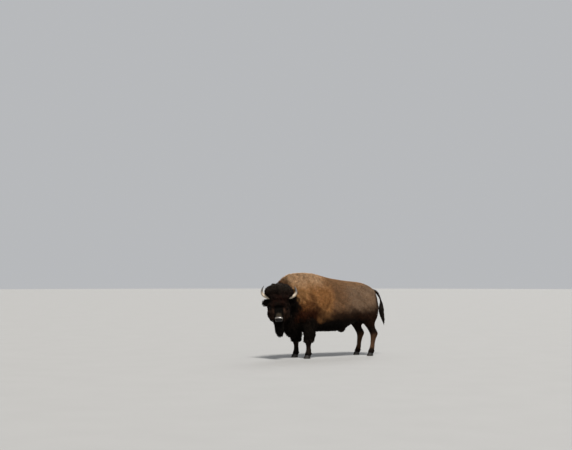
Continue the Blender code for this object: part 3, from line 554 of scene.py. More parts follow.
def sunk_skin():
    """Arrays of the skin: the fused flesh, softened, and moved inwards by the depth of the coat."""
    melted = fused_flesh()
    points = points_of(melted)
    faces = np.empty(len(melted.loops), dtype=np.int32)
    melted.loops.foreach_get("vertex_index", faces)
    faces = faces.reshape(-1, 4)
    bpy.data.meshes.remove(melted)
    points, faces = largest_body(points, faces, edges_of(faces))
    edges = edges_of(faces)
    start = points
    broad = broad_share(places(points))
    points = relaxed(points, edges, SKIN_SOFTENING, 0.5 * broad)
    points = relaxed(points, edges, FACE_SOFTENING, np.full(len(points), 0.5))
    normals = vertex_normals(points, faces)
    lost = normals * ((start - points) * normals).sum(axis=1, keepdims=True)
    points += relaxed(lost, edges, SKIN_SOFTENING, np.full(len(points), 0.5))
    p = places(points)
    depth = coat_value(region_shares(p, np.zeros(len(points))), "depth")
    points = drawn_to_axis(points, p)
    for _ in range(INSET_STEPS):
        points -= vertex_normals(points, faces) * (depth / INSET_STEPS)[:, None]
        points = relaxed(points, edges, 1, np.full(len(points), 0.25))
    return points, faces


# ---------------------------------------------------------------- skin: face
NOSTRIL = (0.050, 0.478, -0.074)               # left nostril in face axes
NOSTRIL_UP = NOSTRIL[1] * DOWN_FACE[2] + NOSTRIL[2] * OUT_FACE[2]      # its height over the head's middle
MOUTH_OUT = -0.150             # the line of the lips lies this far behind the bridge's line
LID_RISE = 0.0035              # thickness of the eyelids over the eyeball
EYE_RADIUS = 0.0225
MUZZLE_SPLITS = 2              # how often the skin's faces are halved round the muzzle
EYE_SPLITS = 3                 # and round the eyes


def nose_pad(p):
    """The naked skin between and round the nostrils, down to the upper lip."""
    front = ramp(p.down + 0.25 * p.out, 0.424, 0.438)
    return front * ramp(np.abs(p.aside), 0.088, 0.070) * ramp(p.out, -0.150, -0.135) * head_mask(p)


def nostril_gap(p):
    """The distance from the nearer nostril's middle, as a share of the nostril's size.

    Its outline is a comma: round at the front, and drawn out upwards and back.
    """
    aside = np.abs(p.aside) - NOSTRIL[0]
    out = p.out - NOSTRIL[2]
    long = 0.75 * out + 0.66 * aside
    short = 0.66 * out - 0.75 * aside
    return np.sqrt((long / 0.020) ** 2 + ((short + 6.0 * long ** 2) / 0.0105) ** 2
                   + ((p.down - NOSTRIL[1]) / 0.030) ** 2)


def painted_light_on_nose_wings(p):
    """The raised rims beside and under the nostrils, on which a paler tone is painted as light."""
    rim = np.exp(-((nostril_gap(p) - 1.55) / 0.45) ** 2)
    return rim * near_muzzle(p) * ramp(np.abs(p.aside), 0.034, 0.052)


def bare(p):
    """Where no hair grows: the nose pad, the lips' edge and the rims of the eyes."""
    lips = np.exp(-((p.out - MOUTH_OUT) / 0.010) ** 2) * ramp(p.down, 0.40, 0.43)
    rims = ramp(lid_gap(p), 0.032, 0.027)
    return np.clip(nose_pad(p) + lips + rims, 0.0, 1.0)


def refined(form, near, times):
    """Split the edges whose two ends both lie where near is true."""
    for _ in range(times):
        points = np.array([vertex.co for vertex in form.verts])
        chosen = near(places(points))
        form.verts.index_update()
        edges = [edge for edge in form.edges if chosen[edge.verts[0].index] and chosen[edge.verts[1].index]]
        bmesh.ops.subdivide_edges(form, edges=edges, cuts=1, use_grid_fill=True, smooth=0.6)


def near_muzzle(p):
    return (p.down > 0.34) & (p.past_neck > 0.0) & (p.z > 0.76) & (p.out > -0.26)


def near_eyes(p):
    """Round both eyes, as far as the folds of the lids reach."""
    return eye_gap(p) < 0.075


def shaped_muzzle(points, normals):
    """Nostrils with raised wings, the pad's crest, the groove under it, the lips and the mouth's line."""
    p = places(points)
    here = near_muzzle(p).astype(float)
    gap = nostril_gap(p)
    pit = np.exp(-gap ** 4)
    wing = np.exp(-((gap - 1.45) / 0.42) ** 2)
    points = points - normals * (here * (0.022 * pit - 0.0055 * wing))[:, None]
    # the pad swells between the nostrils' upper ends
    crest = np.exp(-((p.up - NOSTRIL_UP - 0.022) / 0.018) ** 2) * ramp(np.abs(p.aside), 0.088, 0.062)
    groove = np.exp(-(p.aside / 0.0045) ** 2) * ramp(p.down, 0.44, 0.47) * ramp(p.out, -0.055, -0.085)
    groove *= ramp(p.out, -0.150, -0.140)
    line = MOUTH_OUT + 0.020 * ramp(p.down, 0.46, 0.36) + 0.006 * np.cos(p.aside * 34.0)
    mouth = np.exp(-((p.out - line) / 0.0052) ** 2) * ramp(p.down, 0.345, 0.375)
    lip = np.exp(-((p.out - line - 0.016) / 0.010) ** 2) * ramp(p.down, 0.36, 0.40)
    lower = np.exp(-((p.out - line + 0.015) / 0.009) ** 2) * ramp(p.down, 0.36, 0.40)
    shift = 0.0045 * groove + 0.0115 * mouth - 0.0035 * lip - 0.0025 * lower - 0.0105 * crest
    return points - normals * (here * shift)[:, None]


def shaped_eyes(points):
    """Lids that wrap each eyeball, open in a slanting almond, with folds above and below."""
    for name, side in SIDES:
        middle = EYE_MIDDLES[name]
        gaze = unit(ASIDE * side * 0.90 + AHEAD * 0.38 + UP * 0.16)
        level = unit(DOWN_FACE * 0.80 - UP * 0.12 + AHEAD * 0.1)
        level = unit(level - gaze * (level @ gaze))
        rise = np.cross(gaze, level) * side
        if rise @ UP < 0:
            rise = -rise
        offset = points - middle
        ahead = offset @ gaze
        along = offset @ level
        across = offset @ rise
        reach = np.sqrt(along ** 2 + across ** 2)
        near = ramp(reach, 0.070, 0.045) * (ahead > -0.03)
        # the almond's edges: the upper arches more than the lower
        half = 0.0235
        inside_length = np.clip(1.0 - (along / half) ** 2, 0.0, 1.0)
        upper = 0.0125 * inside_length ** 0.8
        lower = -0.0095 * inside_length ** 0.9
        opening = ramp(across, upper + 0.0012, upper - 0.0006) * ramp(across, lower - 0.0012, lower + 0.0006)
        opening *= ramp(np.abs(along), half, half - 0.001)
        ball = np.sqrt(np.clip((EYE_RADIUS + LID_RISE) ** 2 - reach ** 2, 0.0, None))
        lid = np.where(reach < EYE_RADIUS + LID_RISE, ball, 0.0)
        rim = np.exp(-((across - upper) / 0.0026) ** 2) + np.exp(-((across - lower) / 0.0024) ** 2)
        lid += 0.0014 * rim * (reach < 0.03)
        onto = ramp(reach, 0.034, 0.021)
        target = ahead * (1 - onto) + np.maximum(lid, ahead * 0.35) * onto
        fold = np.exp(-((across - upper - 0.0105) / 0.0030) ** 2)
        fold += 0.6 * np.exp(-((across - lower + 0.0095) / 0.003) ** 2)
        fold *= ramp(reach, 0.050, 0.030)
        brow = np.exp(-((across - 0.034) / 0.013) ** 2) * ramp(np.abs(along), 0.060, 0.020)
        target += -0.0035 * fold + 0.0060 * brow
        target = np.where(opening > 0.02, target * (1 - opening) + (EYE_RADIUS * 0.45) * opening, target)
        points = points + gaze * (near * (target - ahead))[:, None]
    return points


def ear_forms(form, flag):
    """The two ears as rounder copies of their solids, added to the skin's form."""
    for node in EARS:
        start = len(form.verts)
        form.from_mesh(rounded(mesh_of(merged_form(node), node), 2))
        form.verts.ensure_lookup_table()
        for vertex in form.verts[start:]:
            vertex[flag] = 1.0


def skin_object():
    """The whole skin, with its ears, its unwrap and its modelled face."""
    points, faces = sunk_skin()
    skin = add_object("skin", mesh_from("skin", points, faces))
    form = bmesh.new()
    form.from_mesh(skin.data)
    flag = form.verts.layers.float.new("ear")
    ear_forms(form, flag)
    form.to_mesh(skin.data)
    form.free()
    unwrap(skin)

    form = bmesh.new()
    form.from_mesh(skin.data)
    refined(form, near_muzzle, MUZZLE_SPLITS)
    refined(form, near_eyes, EYE_SPLITS)
    bmesh.ops.triangulate(form, faces=form.faces)
    form.to_mesh(skin.data)
    form.free()
    points = points_of(skin.data)
    triangles = triangles_of(skin.data)
    edges = edges_of(triangles)
    p = places(points)
    soft = np.where(near_muzzle(p) | near_eyes(p), 0.5, 0.0) * (1.0 - vertex_values(skin.data, "ear"))
    points = relaxed(points, edges, 4, soft)
    points = shaped_muzzle(points, vertex_normals(points, triangles))
    points = relaxed(points, edges, 1, soft * 0.4)
    points = shaped_eyes(points)
    skin.data.vertices.foreach_set("co", points.astype(np.float32).ravel())
    skin.data.update()
    return skin


def triangles_of(mesh):
    corners = np.empty(len(mesh.loops), dtype=np.int32)
    mesh.loops.foreach_get("vertex_index", corners)
    return corners.reshape(-1, 3)


def vertex_values(mesh, name):
    values = np.zeros(len(mesh.vertices), dtype=np.float32)
    if name in mesh.attributes:
        mesh.attributes[name].data.foreach_get("value", values)
    return values.astype(float)


ISLAND_ANGLE = math.radians(66)                # faces turned by more than this part into islands
ISLAND_MARGIN = 0.002          # room between the islands of the unwrap


def unwrap(thing):
    """Unwrap a piece's own shape into islands that don't overlap."""
    thing.data.uv_layers.new(name="OFBake")
    bpy.ops.object.select_all(action="DESELECT")
    thing.select_set(True)
    bpy.context.view_layer.objects.active = thing
    bpy.ops.object.mode_set(mode="EDIT")
    bpy.ops.mesh.select_all(action="SELECT")
    bpy.ops.uv.smart_project(angle_limit=ISLAND_ANGLE, island_margin=ISLAND_MARGIN)
    bpy.ops.object.mode_set(mode="OBJECT")


def paint(mesh, name, colours):
    """Store a colour for each point of a mesh."""
    layer = mesh.color_attributes.new(name, "FLOAT_COLOR", "POINT")
    rows = np.ones((len(colours), 4), dtype=np.float32)
    rows[:, :3] = np.clip(colours, 0.0, 1.0)
    layer.data.foreach_set("color", rows.ravel())


def store(mesh, name, values):
    """Store a number for each point of a mesh."""
    layer = mesh.attributes.new(name, "FLOAT", "POINT")
    layer.data.foreach_set("value", np.asarray(values, dtype=np.float32))


# ---------------------------------------------------------------- hair
Surface = namedtuple("Surface", "tree triangles corners normals")
Roots = namedtuple("Roots", "points normals uvs shares p ears")
EVENING_PASSES = 2
DENSITY = 1.0           # share of the full number of locks
ROOM = 0.80                    # how far apart roots are moved, as a share of their even spacing
COAT_END = (0.060, 0.070)      # the coat thins out between these heights, over the hooves
LOOSE_FROM = 0.020             # a hanging lock farther than this from the skin falls freely
LENGTH_SPREAD = (0.70, 1.25)   # shortest and longest lock, as shares of the region's own
RISE_SPREAD = (0.55, 1.12)
WIDTH_SPREAD = (0.70, 1.30)
HORN_CLEAR = (0.050, 0.125)    # the mop is short as near to a horn's root as this, and full past the second


def surface_of(skin):
    """The skin as a search tree, with its triangles, their corners and the normals at the corners."""
    points = points_of(skin.data)
    triangles = triangles_of(skin.data)
    tree = BVHTree.FromPolygons(points.tolist(), triangles.tolist())
    return Surface(tree, triangles, points[triangles], vertex_normals(points, triangles)[triangles])


def sampled_roots(skin, surface):
    """Places on the skin where locks grow, spread by each region's own density."""
    mesh = skin.data
    uvs = np.empty(len(mesh.loops) * 2, dtype=np.float32)
    mesh.uv_layers["OFBake"].data.foreach_get("uv", uvs)
    uvs = uvs.reshape(-1, 3, 2).astype(float)
    ears = vertex_values(mesh, "ear")[surface.triangles[:, 0]]
    corner = surface.corners
    area = 0.5 * np.linalg.norm(np.cross(corner[:, 1] - corner[:, 0], corner[:, 2] - corner[:, 0]), axis=1)
    p = places(corner.mean(axis=1))
    spread = coat_value(region_shares(p, ears), "spread") * DENSITY
    wanted = spread * area * (1.0 - bare(p)) * ramp(p.z, *COAT_END)
    draw = np.random.default_rng(SEED)
    order = draw.permutation(len(corner))
    total = np.cumsum(wanted[order])
    count = int(total[-1])
    marks = (np.arange(count) + draw.uniform(0, 1, count)) * (total[-1] / count)
    chosen = order[np.minimum(np.searchsorted(total, marks), len(corner) - 1)]
    one, two = draw.uniform(0, 1, (2, count))
    fold = one + two > 1
    one[fold], two[fold] = 1 - one[fold], 1 - two[fold]
    share = rows_of(1 - one - two, one, two)[:, :, None]
    roots, hit, share = evened(surface, (corner[chosen] * share).sum(axis=1), spread[chosen])
    there = places(roots)
    kept = (bare(there) < 0.6) & (there.z > COAT_END[0])
    roots, hit, share = roots[kept], hit[kept], share[kept]
    there = Places(*(column[kept] for column in there))
    return Roots(roots, unit((surface.normals[hit] * share).sum(axis=1)), (uvs[hit] * share).sum(axis=1),
                 region_shares(there, ears[hit]), there, ears[hit])


def picked(roots, rows):
    """The chosen rows of every part of a set of roots."""
    return Roots(roots.points[rows], roots.normals[rows], roots.uvs[rows], roots.shares[rows],
                 Places(*(column[rows] for column in roots.p)), roots.ears[rows])


def nearest_on(surface, points):
    """For each point, the nearest place on the skin, its triangle, and the shares of that one's corners."""
    feet = np.empty_like(points)
    hit = np.empty(len(points), dtype=np.int64)
    find = surface.tree.find_nearest
    for k, point in enumerate(points.tolist()):
        foot, _, index, _ = find(point)
        feet[k] = foot
        hit[k] = index
    one, two, three = (surface.corners[hit, i] for i in range(3))
    along, aside, gap = two - one, three - one, feet - one
    d00, d01, d11 = ((along * along).sum(axis=1), (along * aside).sum(axis=1), (aside * aside).sum(axis=1))
    d20, d21 = (gap * along).sum(axis=1), (gap * aside).sum(axis=1)
    flat = np.maximum(d00 * d11 - d01 * d01, 1e-20)
    second = np.clip((d11 * d20 - d01 * d21) / flat, 0, 1)
    third = np.clip((d00 * d21 - d01 * d20) / flat, 0, 1 - second)
    return feet, hit, rows_of(1 - second - third, second, third)[:, :, None]


def evened(surface, points, spread):
    """Move crowded roots apart along the skin, each by the room that its own region asks for."""
    room = ROOM / np.sqrt(spread)
    for _ in range(EVENING_PASSES):
        tree = KDTree(len(points))
        for k, point in enumerate(points.tolist()):
            tree.insert(point, k)
        tree.balance()
        near = np.empty((len(points), 4), dtype=np.int64)
        for k, point in enumerate(points.tolist()):
            near[k] = [index for _, index, _ in tree.find_n(point, 5)][1:5]
        apart = points[:, None, :] - points[near]
        gap = np.linalg.norm(apart, axis=2, keepdims=True)
        push = np.clip(room[:, None, None] - gap, 0.0, None) * apart / np.maximum(gap, 1e-9)
        points = points + 0.42 * push.sum(axis=1)
        points, hit, share = nearest_on(surface, points)
    return points, hit, share


def combed_switch(line, switch):
    """Lay the locks of the switch in its leaf shape: widest under the bone's end, then down to a point."""
    count, rows = line.shape[:2]
    axis = switch_axis(line[..., 2])
    off_axis = line[..., :2] - axis
    gap = np.linalg.norm(off_axis, axis=-1, keepdims=True)
    reach = np.sqrt(np.random.default_rng([SEED, count]).uniform(0.10, 1.0, (count, 1)))
    wanted = np.interp(line[..., 2], SWITCH[:, 0], SWITCH[:, 3]) * reach
    placed = axis + off_axis / np.maximum(gap, 0.001) * wanted[..., None]
    share = switch[:, None] * ramp(np.linspace(0, 1, rows), 0.0, 0.5)[None, :]
    line[..., :2] += (placed - line[..., :2]) * share[..., None]
    return line


def lock_lines(roots, joints, surface, draw):
    """The middle line of every lock: it leaves its root, follows the lie of the coat and sags."""
    shares = roots.shares
    count = len(roots.points)
    length = coat_value(shares, "length") * draw.uniform(*LENGTH_SPREAD, count)
    height = coat_value(shares, "rise") * draw.uniform(*RISE_SPREAD, count)
    woolly = woolliness(shares)
    height *= 1.0 + (0.06 + 0.16 * woolly) * ripple(roots.points, 0.075, 31)
    # the switch ends in a point: its lower locks are the shortest
    switch = shares[:, REGIONS.index("switch")]
    length *= 1.0 - switch * (0.40 * ramp(roots.p.z, 0.98, 0.80) + draw.uniform(-0.10, 0.20, count))
    near_horn = ramp(horn_gap(roots.p), *HORN_CLEAR)
    length *= 0.30 + 0.70 * near_horn
    height *= 0.15 + 0.85 * near_horn
    cling = coat_value(shares, "cling")
    hang = coat_value(shares, "hang")
    way = lie_of_coat(roots.points, roots.p, shares)
    normal = roots.normals
    # neighbours swing together, so that the wool lies in clumps
    clump = 0.30 * woolly * ripple(roots.points, 0.050, 35)
    way += np.cross(normal, way) * clump[:, None]
    way += draw.normal(0, 1, (count, 3)) * (0.08 + 0.06 * woolly)[:, None]
    point = roots.points.copy()
    line = [point - normal * 0.002]
    normals = [normal]
    step = (length / joints)[:, None]
    for k in range(1, joints + 1):
        t = k / joints
        # a lock that clings lies flat; one that hangs only keeps out of the skin
        into = (way * normal).sum(axis=1)
        flat = unit(way - normal * np.where(into < 0, into, into * cling)[:, None])
        pull = (hang * t)[:, None]
        lift = (height * (1.0 - t) / length)[:, None]
        go = unit(flat * (1 - 0.6 * pull) + normal * lift * (1.0 + 0.8 * pull) - UP * pull * 0.9)
        free = point + go * step
        feet, hit, share = nearest_on(surface, free)
        here = unit((surface.normals[hit] * share).sum(axis=1))
        over = ((free - feet) * here).sum(axis=1)
        wanted = height * math.sin(min(1.0, 1.25 * t) * math.pi / 2)
        kept = cling * wanted + (1 - cling) * np.maximum(over, 0.003)
        side = free - feet - here * over[:, None]
        laid = feet + here * kept[:, None] + side * (1 - cling)[:, None]
        # a hanging lock that has left the skin behind falls on its own
        loose = ((cling < 0.3) & (np.linalg.norm(free - feet, axis=1) > LOOSE_FROM))[:, None]
        point = np.where(loose, free, laid)
        normal = np.where(loose, normal, here)
        line.append(point)
        normals.append(normal)
    return combed_switch(np.stack(line, axis=1), switch), np.stack(normals, axis=1), length


def curled(line, normals, roots, draw):
    """Wind each line round itself by its region's curl; returns the line and the way across it."""
    count, rows = line.shape[:2]
    along = unit(np.gradient(line, axis=1))
    across = unit(np.cross(along, normals))
    lift = unit(np.cross(across, along))
    t = np.linspace(0, 1, rows)[None, :]
    curl = coat_value(roots.shares, "curl")[:, None] * draw.uniform(0.6, 1.3, (count, 1))
    turns = coat_value(roots.shares, "turns")[:, None] * draw.uniform(0.7, 1.3, (count, 1))
    hand = np.where(draw.uniform(0, 1, (count, 1)) < 0.5, -1.0, 1.0)
    angle = hand * (turns * 2 * math.pi * t) + draw.uniform(0, 2 * math.pi, (count, 1)) * (turns > 0.2)
    wide = curl * np.minimum(1.0, t * 2.2)
    line = line + across * (wide * np.cos(angle))[..., None] + lift * (0.55 * wide * np.sin(angle))[..., None]
    tilt = 0.5 * angle * (curl > 0.001)
    across = unit(across * np.cos(tilt * 0.6)[..., None] + lift * np.sin(tilt * 0.6)[..., None])
    return line, across, lift


def lock_mesh(name, roots, joints, surface):
    """Solid three-sided locks, each tapering to a point, as one mesh with an unwrap and a colour."""
    draw = np.random.default_rng([SEED, joints, len(roots.points)])
    line, normals, length = lock_lines(roots, joints, surface, draw)
    line, across, lift = curled(line, normals, roots, draw)
    count, rows = line.shape[:2]
    width = coat_value(roots.shares, "width") * draw.uniform(*WIDTH_SPREAD, count)
    t = np.linspace(0, 1, rows)
    taper = np.minimum(0.55 + 1.5 * t, 1.0) * np.sqrt(np.clip(1.0 - (t * 0.98) ** 2.2, 0, 1))
    half = (0.5 * width)[:, None, None] * taper[None, :, None]
    ridge = half * 0.55
    rings = np.stack((line - across * half - lift * ridge * 0.3, line + across * half - lift * ridge * 0.3,
                      line + lift * ridge), axis=2)
    # every ring but the last has three points; the last is the tip
    body = rings[:, :-1].reshape(count, -1, 3)
    points = np.concatenate((body, line[:, -1:]), axis=1)
    each = points.shape[1]
    faces = lock_faces(rows)
    triangles = (faces[None] + (np.arange(count) * each)[:, None, None]).reshape(-1, 3)

    bend = np.repeat(t[:-1], 3)
    sides = np.tile(np.array((-0.5, 0.5, 0.0)), rows - 1)
    rises = np.concatenate((bend - 0.5, [0.5])) * PATCH
    sides = np.concatenate((sides, [0.0])) * PATCH
    uv = roots.uvs[:, None, :] + np.stack((sides, rises), axis=1)[None]

    colour = markings(roots.points, roots.p, roots.ears)
    woolly = woolliness(roots.shares)
    shade = draw.normal(1.0, 0.11, count) * (1.0 + (0.04 + 0.11 * woolly) * ripple(roots.points, 0.060, 33))
    warm = draw.normal(0.0, 0.05, count)
    tint = rows_of(1 + warm, np.ones(count), 1 - warm) * np.clip(shade, 0.5, 1.6)[:, None]
    tip = np.concatenate((bend, [1.0]))
    # long locks are darker at their roots than short ones
    deep = 0.12 + 0.26 * np.clip(length / 0.08, 0.0, 1.0)
    light = (1.0 - deep[:, None] + 1.3 * deep[:, None] * tip[None, :] ** 0.8)[..., None]
    colours = (colour * tint)[:, None, :] * light

    mesh = mesh_from(name, points.reshape(-1, 3), triangles)
    layer = mesh.uv_layers.new(name="OFBake")
    layer.data.foreach_set("uv", uv.reshape(-1, 2)[triangles.ravel()].astype(np.float32).ravel())
    paint(mesh, "Coat", colours.reshape(-1, 3))
    across_lock = np.concatenate((np.tile((-0.5, 0.5, 0.0), rows - 1), (0.0,)))
    strand = np.empty((count, each, 3), dtype=np.float32)
    strand[:, :, 0] = across_lock * (width / 0.010)[:, None]
    strand[:, :, 1] = tip * (length / 0.060)[:, None]
    strand[:, :, 2] = draw.uniform(0, 1, (count, 1))
    layer = mesh.attributes.new("Strand", "FLOAT_VECTOR", "POINT")
    layer.data.foreach_set("vector", strand.ravel())
    return mesh


def lock_faces(rows):
    """Triangles of one lock: its root's cap, its three sides and its tip."""
    faces = [(0, 2, 1)]
    for ring in range(rows - 2):
        low, high = 3 * ring, 3 * ring + 3
        for i in range(3):
            j = (i + 1) % 3
            faces += [(low + i, low + j, high + j), (low + i, high + j, high + i)]
    last = 3 * (rows - 2)
    tip = last + 3
    faces += [(last + i, last + (i + 1) % 3, tip) for i in range(3)]
    return np.array(faces, dtype=np.int32)


# Pieces of the coat and their regions. Each takes its bends from its first region and is split if too large.
COAT_PIECES = {
    "coat_of_the_flanks": ("flank", "thigh"),
    "coat_of_the_cape": ("cape",),
    "coat_under_the_body": ("belly", "bib", "chaps"),
    "coat_of_the_shanks_and_tail": ("shank", "pastern", "tail"),
    "coat_of_the_mop": ("mop", "forehead"),
    "coat_of_the_cheeks": ("cheek",),
    "coat_of_the_face_and_ears": ("face", "ear"),
    "beard_and_tail_switch": ("beard", "switch"),
}


def coat_objects(skin, material):
    """Every piece of the coat with its locks, parted from nose to tail where it is too large."""
    surface = surface_of(skin)
    roots = sampled_roots(skin, surface)
    main = roots.shares.argmax(axis=1)
    made = []
    total = 0
    for name, regions in COAT_PIECES.items():
        joints = COATS[regions[0]].joints
        rows = np.flatnonzero(np.isin(main, [REGIONS.index(region) for region in regions]))
        rows = rows[np.argsort(roots.p.y[rows], kind="stable")]
        each = 6 * joints - 2
        parts = max(1, math.ceil(len(rows) * each / MAX_TRIANGLES))
        for k, chunk in enumerate(np.array_split(rows, parts)):
            label = name if parts == 1 else f"{name}_{k + 1}"
            piece = add_object(label, lock_mesh(label, picked(roots, chunk), joints, surface))
            piece.data.materials.append(material)
            made.append(piece)
            total += len(piece.data.polygons)
    print("coat triangles", total)
    return made


# ---------------------------------------------------------------- horns, hooves and eyes
# the horn's middle line, aside, ahead and up from the head's middle, and its thickness along that line
HORN_LINE = ((0.120, -0.030, 0.004), (0.200, -0.028, 0.016), (0.268, -0.024, 0.034), (0.326, -0.022, 0.070),
             (0.352, -0.026, 0.128), (0.342, -0.034, 0.192), (0.313, -0.044, 0.252))
HORN_TAPER = (1.0, 1.0, 0.97, 0.87, 0.68, 0.44, 0.13)
HORN_BASE_RADIUS = 0.035
HORN_TIP = 0.004               # its point stands this far past the last ring
HORN_RINGS = 90
HORN_SIDES = 28


def smooth_line(points, count):
    """Points at even steps on a smooth curve through a few given ones."""
    table = np.array(points, dtype=float)
    padded = np.vstack([2 * table[0] - table[1], table, 2 * table[-1] - table[-2]])
    rows = []
    for t in np.linspace(0, len(table) - 1 - 1e-9, count):
        i, u = int(t) + 1, t % 1.0
        before, here, there, after = padded[i - 1:i + 3]
        square = 2 * before - 5 * here + 4 * there - after
        cube = 3 * here - before - 3 * there + after
        rows.append(0.5 * (2 * here + (there - before) * u + square * u ** 2 + cube * u ** 3))
    return np.array(rows)


def tube_faces(rings, sides):
    """Quads between rings of points, in order round and along."""
    ring, side = np.meshgrid(np.arange(rings - 1), np.arange(sides), indexing="ij")
    here = ring * sides + side
    beside = ring * sides + (side + 1) % sides
    return np.stack((here, beside, beside + sides, here + sides), axis=-1).reshape(-1, 4)


def capped_tube(name, points, rings, sides):
    """A closed piece through rings of points; the last two points are the middles of its ends."""
    form = bmesh.new()
    verts = [form.verts.new(point) for point in points]
    for face in tube_faces(rings, sides):
        form.faces.new([verts[i] for i in face])
    last = sides * (rings - 1)
    for i in range(sides):
        j = (i + 1) % sides
        form.faces.new((verts[j], verts[i], verts[-2]))
        form.faces.new((verts[last + i], verts[last + j], verts[-1]))
    form.normal_update()
    bmesh.ops.recalc_face_normals(form, faces=form.faces)
    mesh = mesh_of(form, name)
    mesh.shade_smooth()
    return add_object(name, mesh)


def horn_object(name, side):
    """A short horn that runs out and slightly up, then curves up and in, with growth rings at its base."""
    rows = smooth_line([(*point, taper) for point, taper in zip(HORN_LINE, HORN_TAPER)], HORN_RINGS)
    line = np.array([upright_point(aside * side, ahead, up) for aside, ahead, up, _ in rows])
    along = unit(np.gradient(line, axis=0))
    front = unit(np.cross(along, np.cross(AHEAD, along)))
    beside = np.cross(along, front)
    t = np.linspace(0, 1, HORN_RINGS)
    rings = 1.0 + 0.020 * np.sin(t * 95 + 1.4 * np.sin(t * 21)) * ramp(t, 0.60, 0.15)
    angle = 2 * math.pi * np.arange(HORN_SIDES) / HORN_SIDES
    points = []
    for k in range(HORN_RINGS):
        flute = 1.0 + 0.012 * np.sin(angle * 9 + 3 * t[k]) * ramp(t[k], 0.75, 0.2)
        radius = HORN_BASE_RADIUS * rows[k, 3] * rings[k] * flute
        ahead = np.outer(np.cos(angle) * radius, front[k])
        points.append(line[k] + ahead + np.outer(np.sin(angle) * radius, beside[k]))
    points = np.concatenate(points + [line[:1], line[-1:] + along[-1:] * HORN_TIP])
    horn = capped_tube(name, points, HORN_RINGS, HORN_SIDES)
    store(horn.data, "Growth", np.concatenate((np.repeat(t, HORN_SIDES), (0.0, 1.0))))
    return horn


def hoof_object(node):
    """A hoof or dewclaw as a rounder copy of its solid; a hoof stands flat and is ringed by growth."""
    form = merged_form(node)
    floor = "dewclaw" not in node
    bmesh.ops.dissolve_limit(form, angle_limit=math.radians(1), verts=form.verts, edges=form.edges)
    crease = form.edges.layers.float.new("crease_edge")
    for edge in form.edges:
        sharp = edge.calc_face_angle(0) > math.radians(48)
        level = floor and all(vertex.co.z < 0.0005 for vertex in edge.verts)
        edge[crease] = 0.9 if sharp or level else 0.0
    made = rounded(mesh_of(form, node), 3)
    made.name = node
    points = points_of(made)
    if floor:
        slope = points[:, 2] + 0.25 * (points[:, 1] - points[:, 1].mean())
        middle = points[:, :2].mean(axis=0)
        swell = 0.010 * np.sin(slope * 620) * ramp(points[:, 2], 0.004, 0.012)
        points[:, :2] += (points[:, :2] - middle) * swell[:, None]
        made.vertices.foreach_set("co", points.astype(np.float32).ravel())
        made.update()
    made.shade_smooth()
    made.set_sharp_from_angle(angle=math.radians(45))
    return add_object("shaped_" + node, made)


EYE_RINGS = 41
EYE_SIDES = 40
CORNEA_RISE = 0.045            # bulge of the eye's front, as a share of its radius


def eye_object(name, side):
    """An eyeball with a bulging cornea; its points carry their lean off the gaze line and the pupil's own."""
    gaze = unit(ASIDE * side * 0.90 + AHEAD * 0.38 + UP * 0.10)
    level = unit(np.cross(UP, gaze))
    rise = np.cross(gaze, level)
    points, leans, slots = [], [], []
    for k in range(EYE_RINGS):
        lean = math.pi * (k + 0.5) / EYE_RINGS
        bulge = 1.0 + CORNEA_RISE * math.exp(-(lean / 0.52) ** 4)
        for i in range(EYE_SIDES):
            angle = 2 * math.pi * i / EYE_SIDES
            around = level * math.cos(angle) + rise * math.sin(angle)
            place = gaze * math.cos(lean) + around * math.sin(lean)
            points.append(EYE_MIDDLES[name] + place * EYE_RADIUS * bulge)
            leans.append(lean)
            slots.append(math.hypot(math.cos(angle) * 0.55, math.sin(angle) * 1.5) * lean)
    points.append(EYE_MIDDLES[name] + gaze * EYE_RADIUS * (1.0 + CORNEA_RISE))
    points.append(EYE_MIDDLES[name] - gaze * EYE_RADIUS)
    eye = capped_tube("eyeball_" + name, points, EYE_RINGS, EYE_SIDES)
    store(eye.data, "Lean", leans + [0.0, math.pi])
    store(eye.data, "Slot", slots + [0.0, math.pi])
    return eye


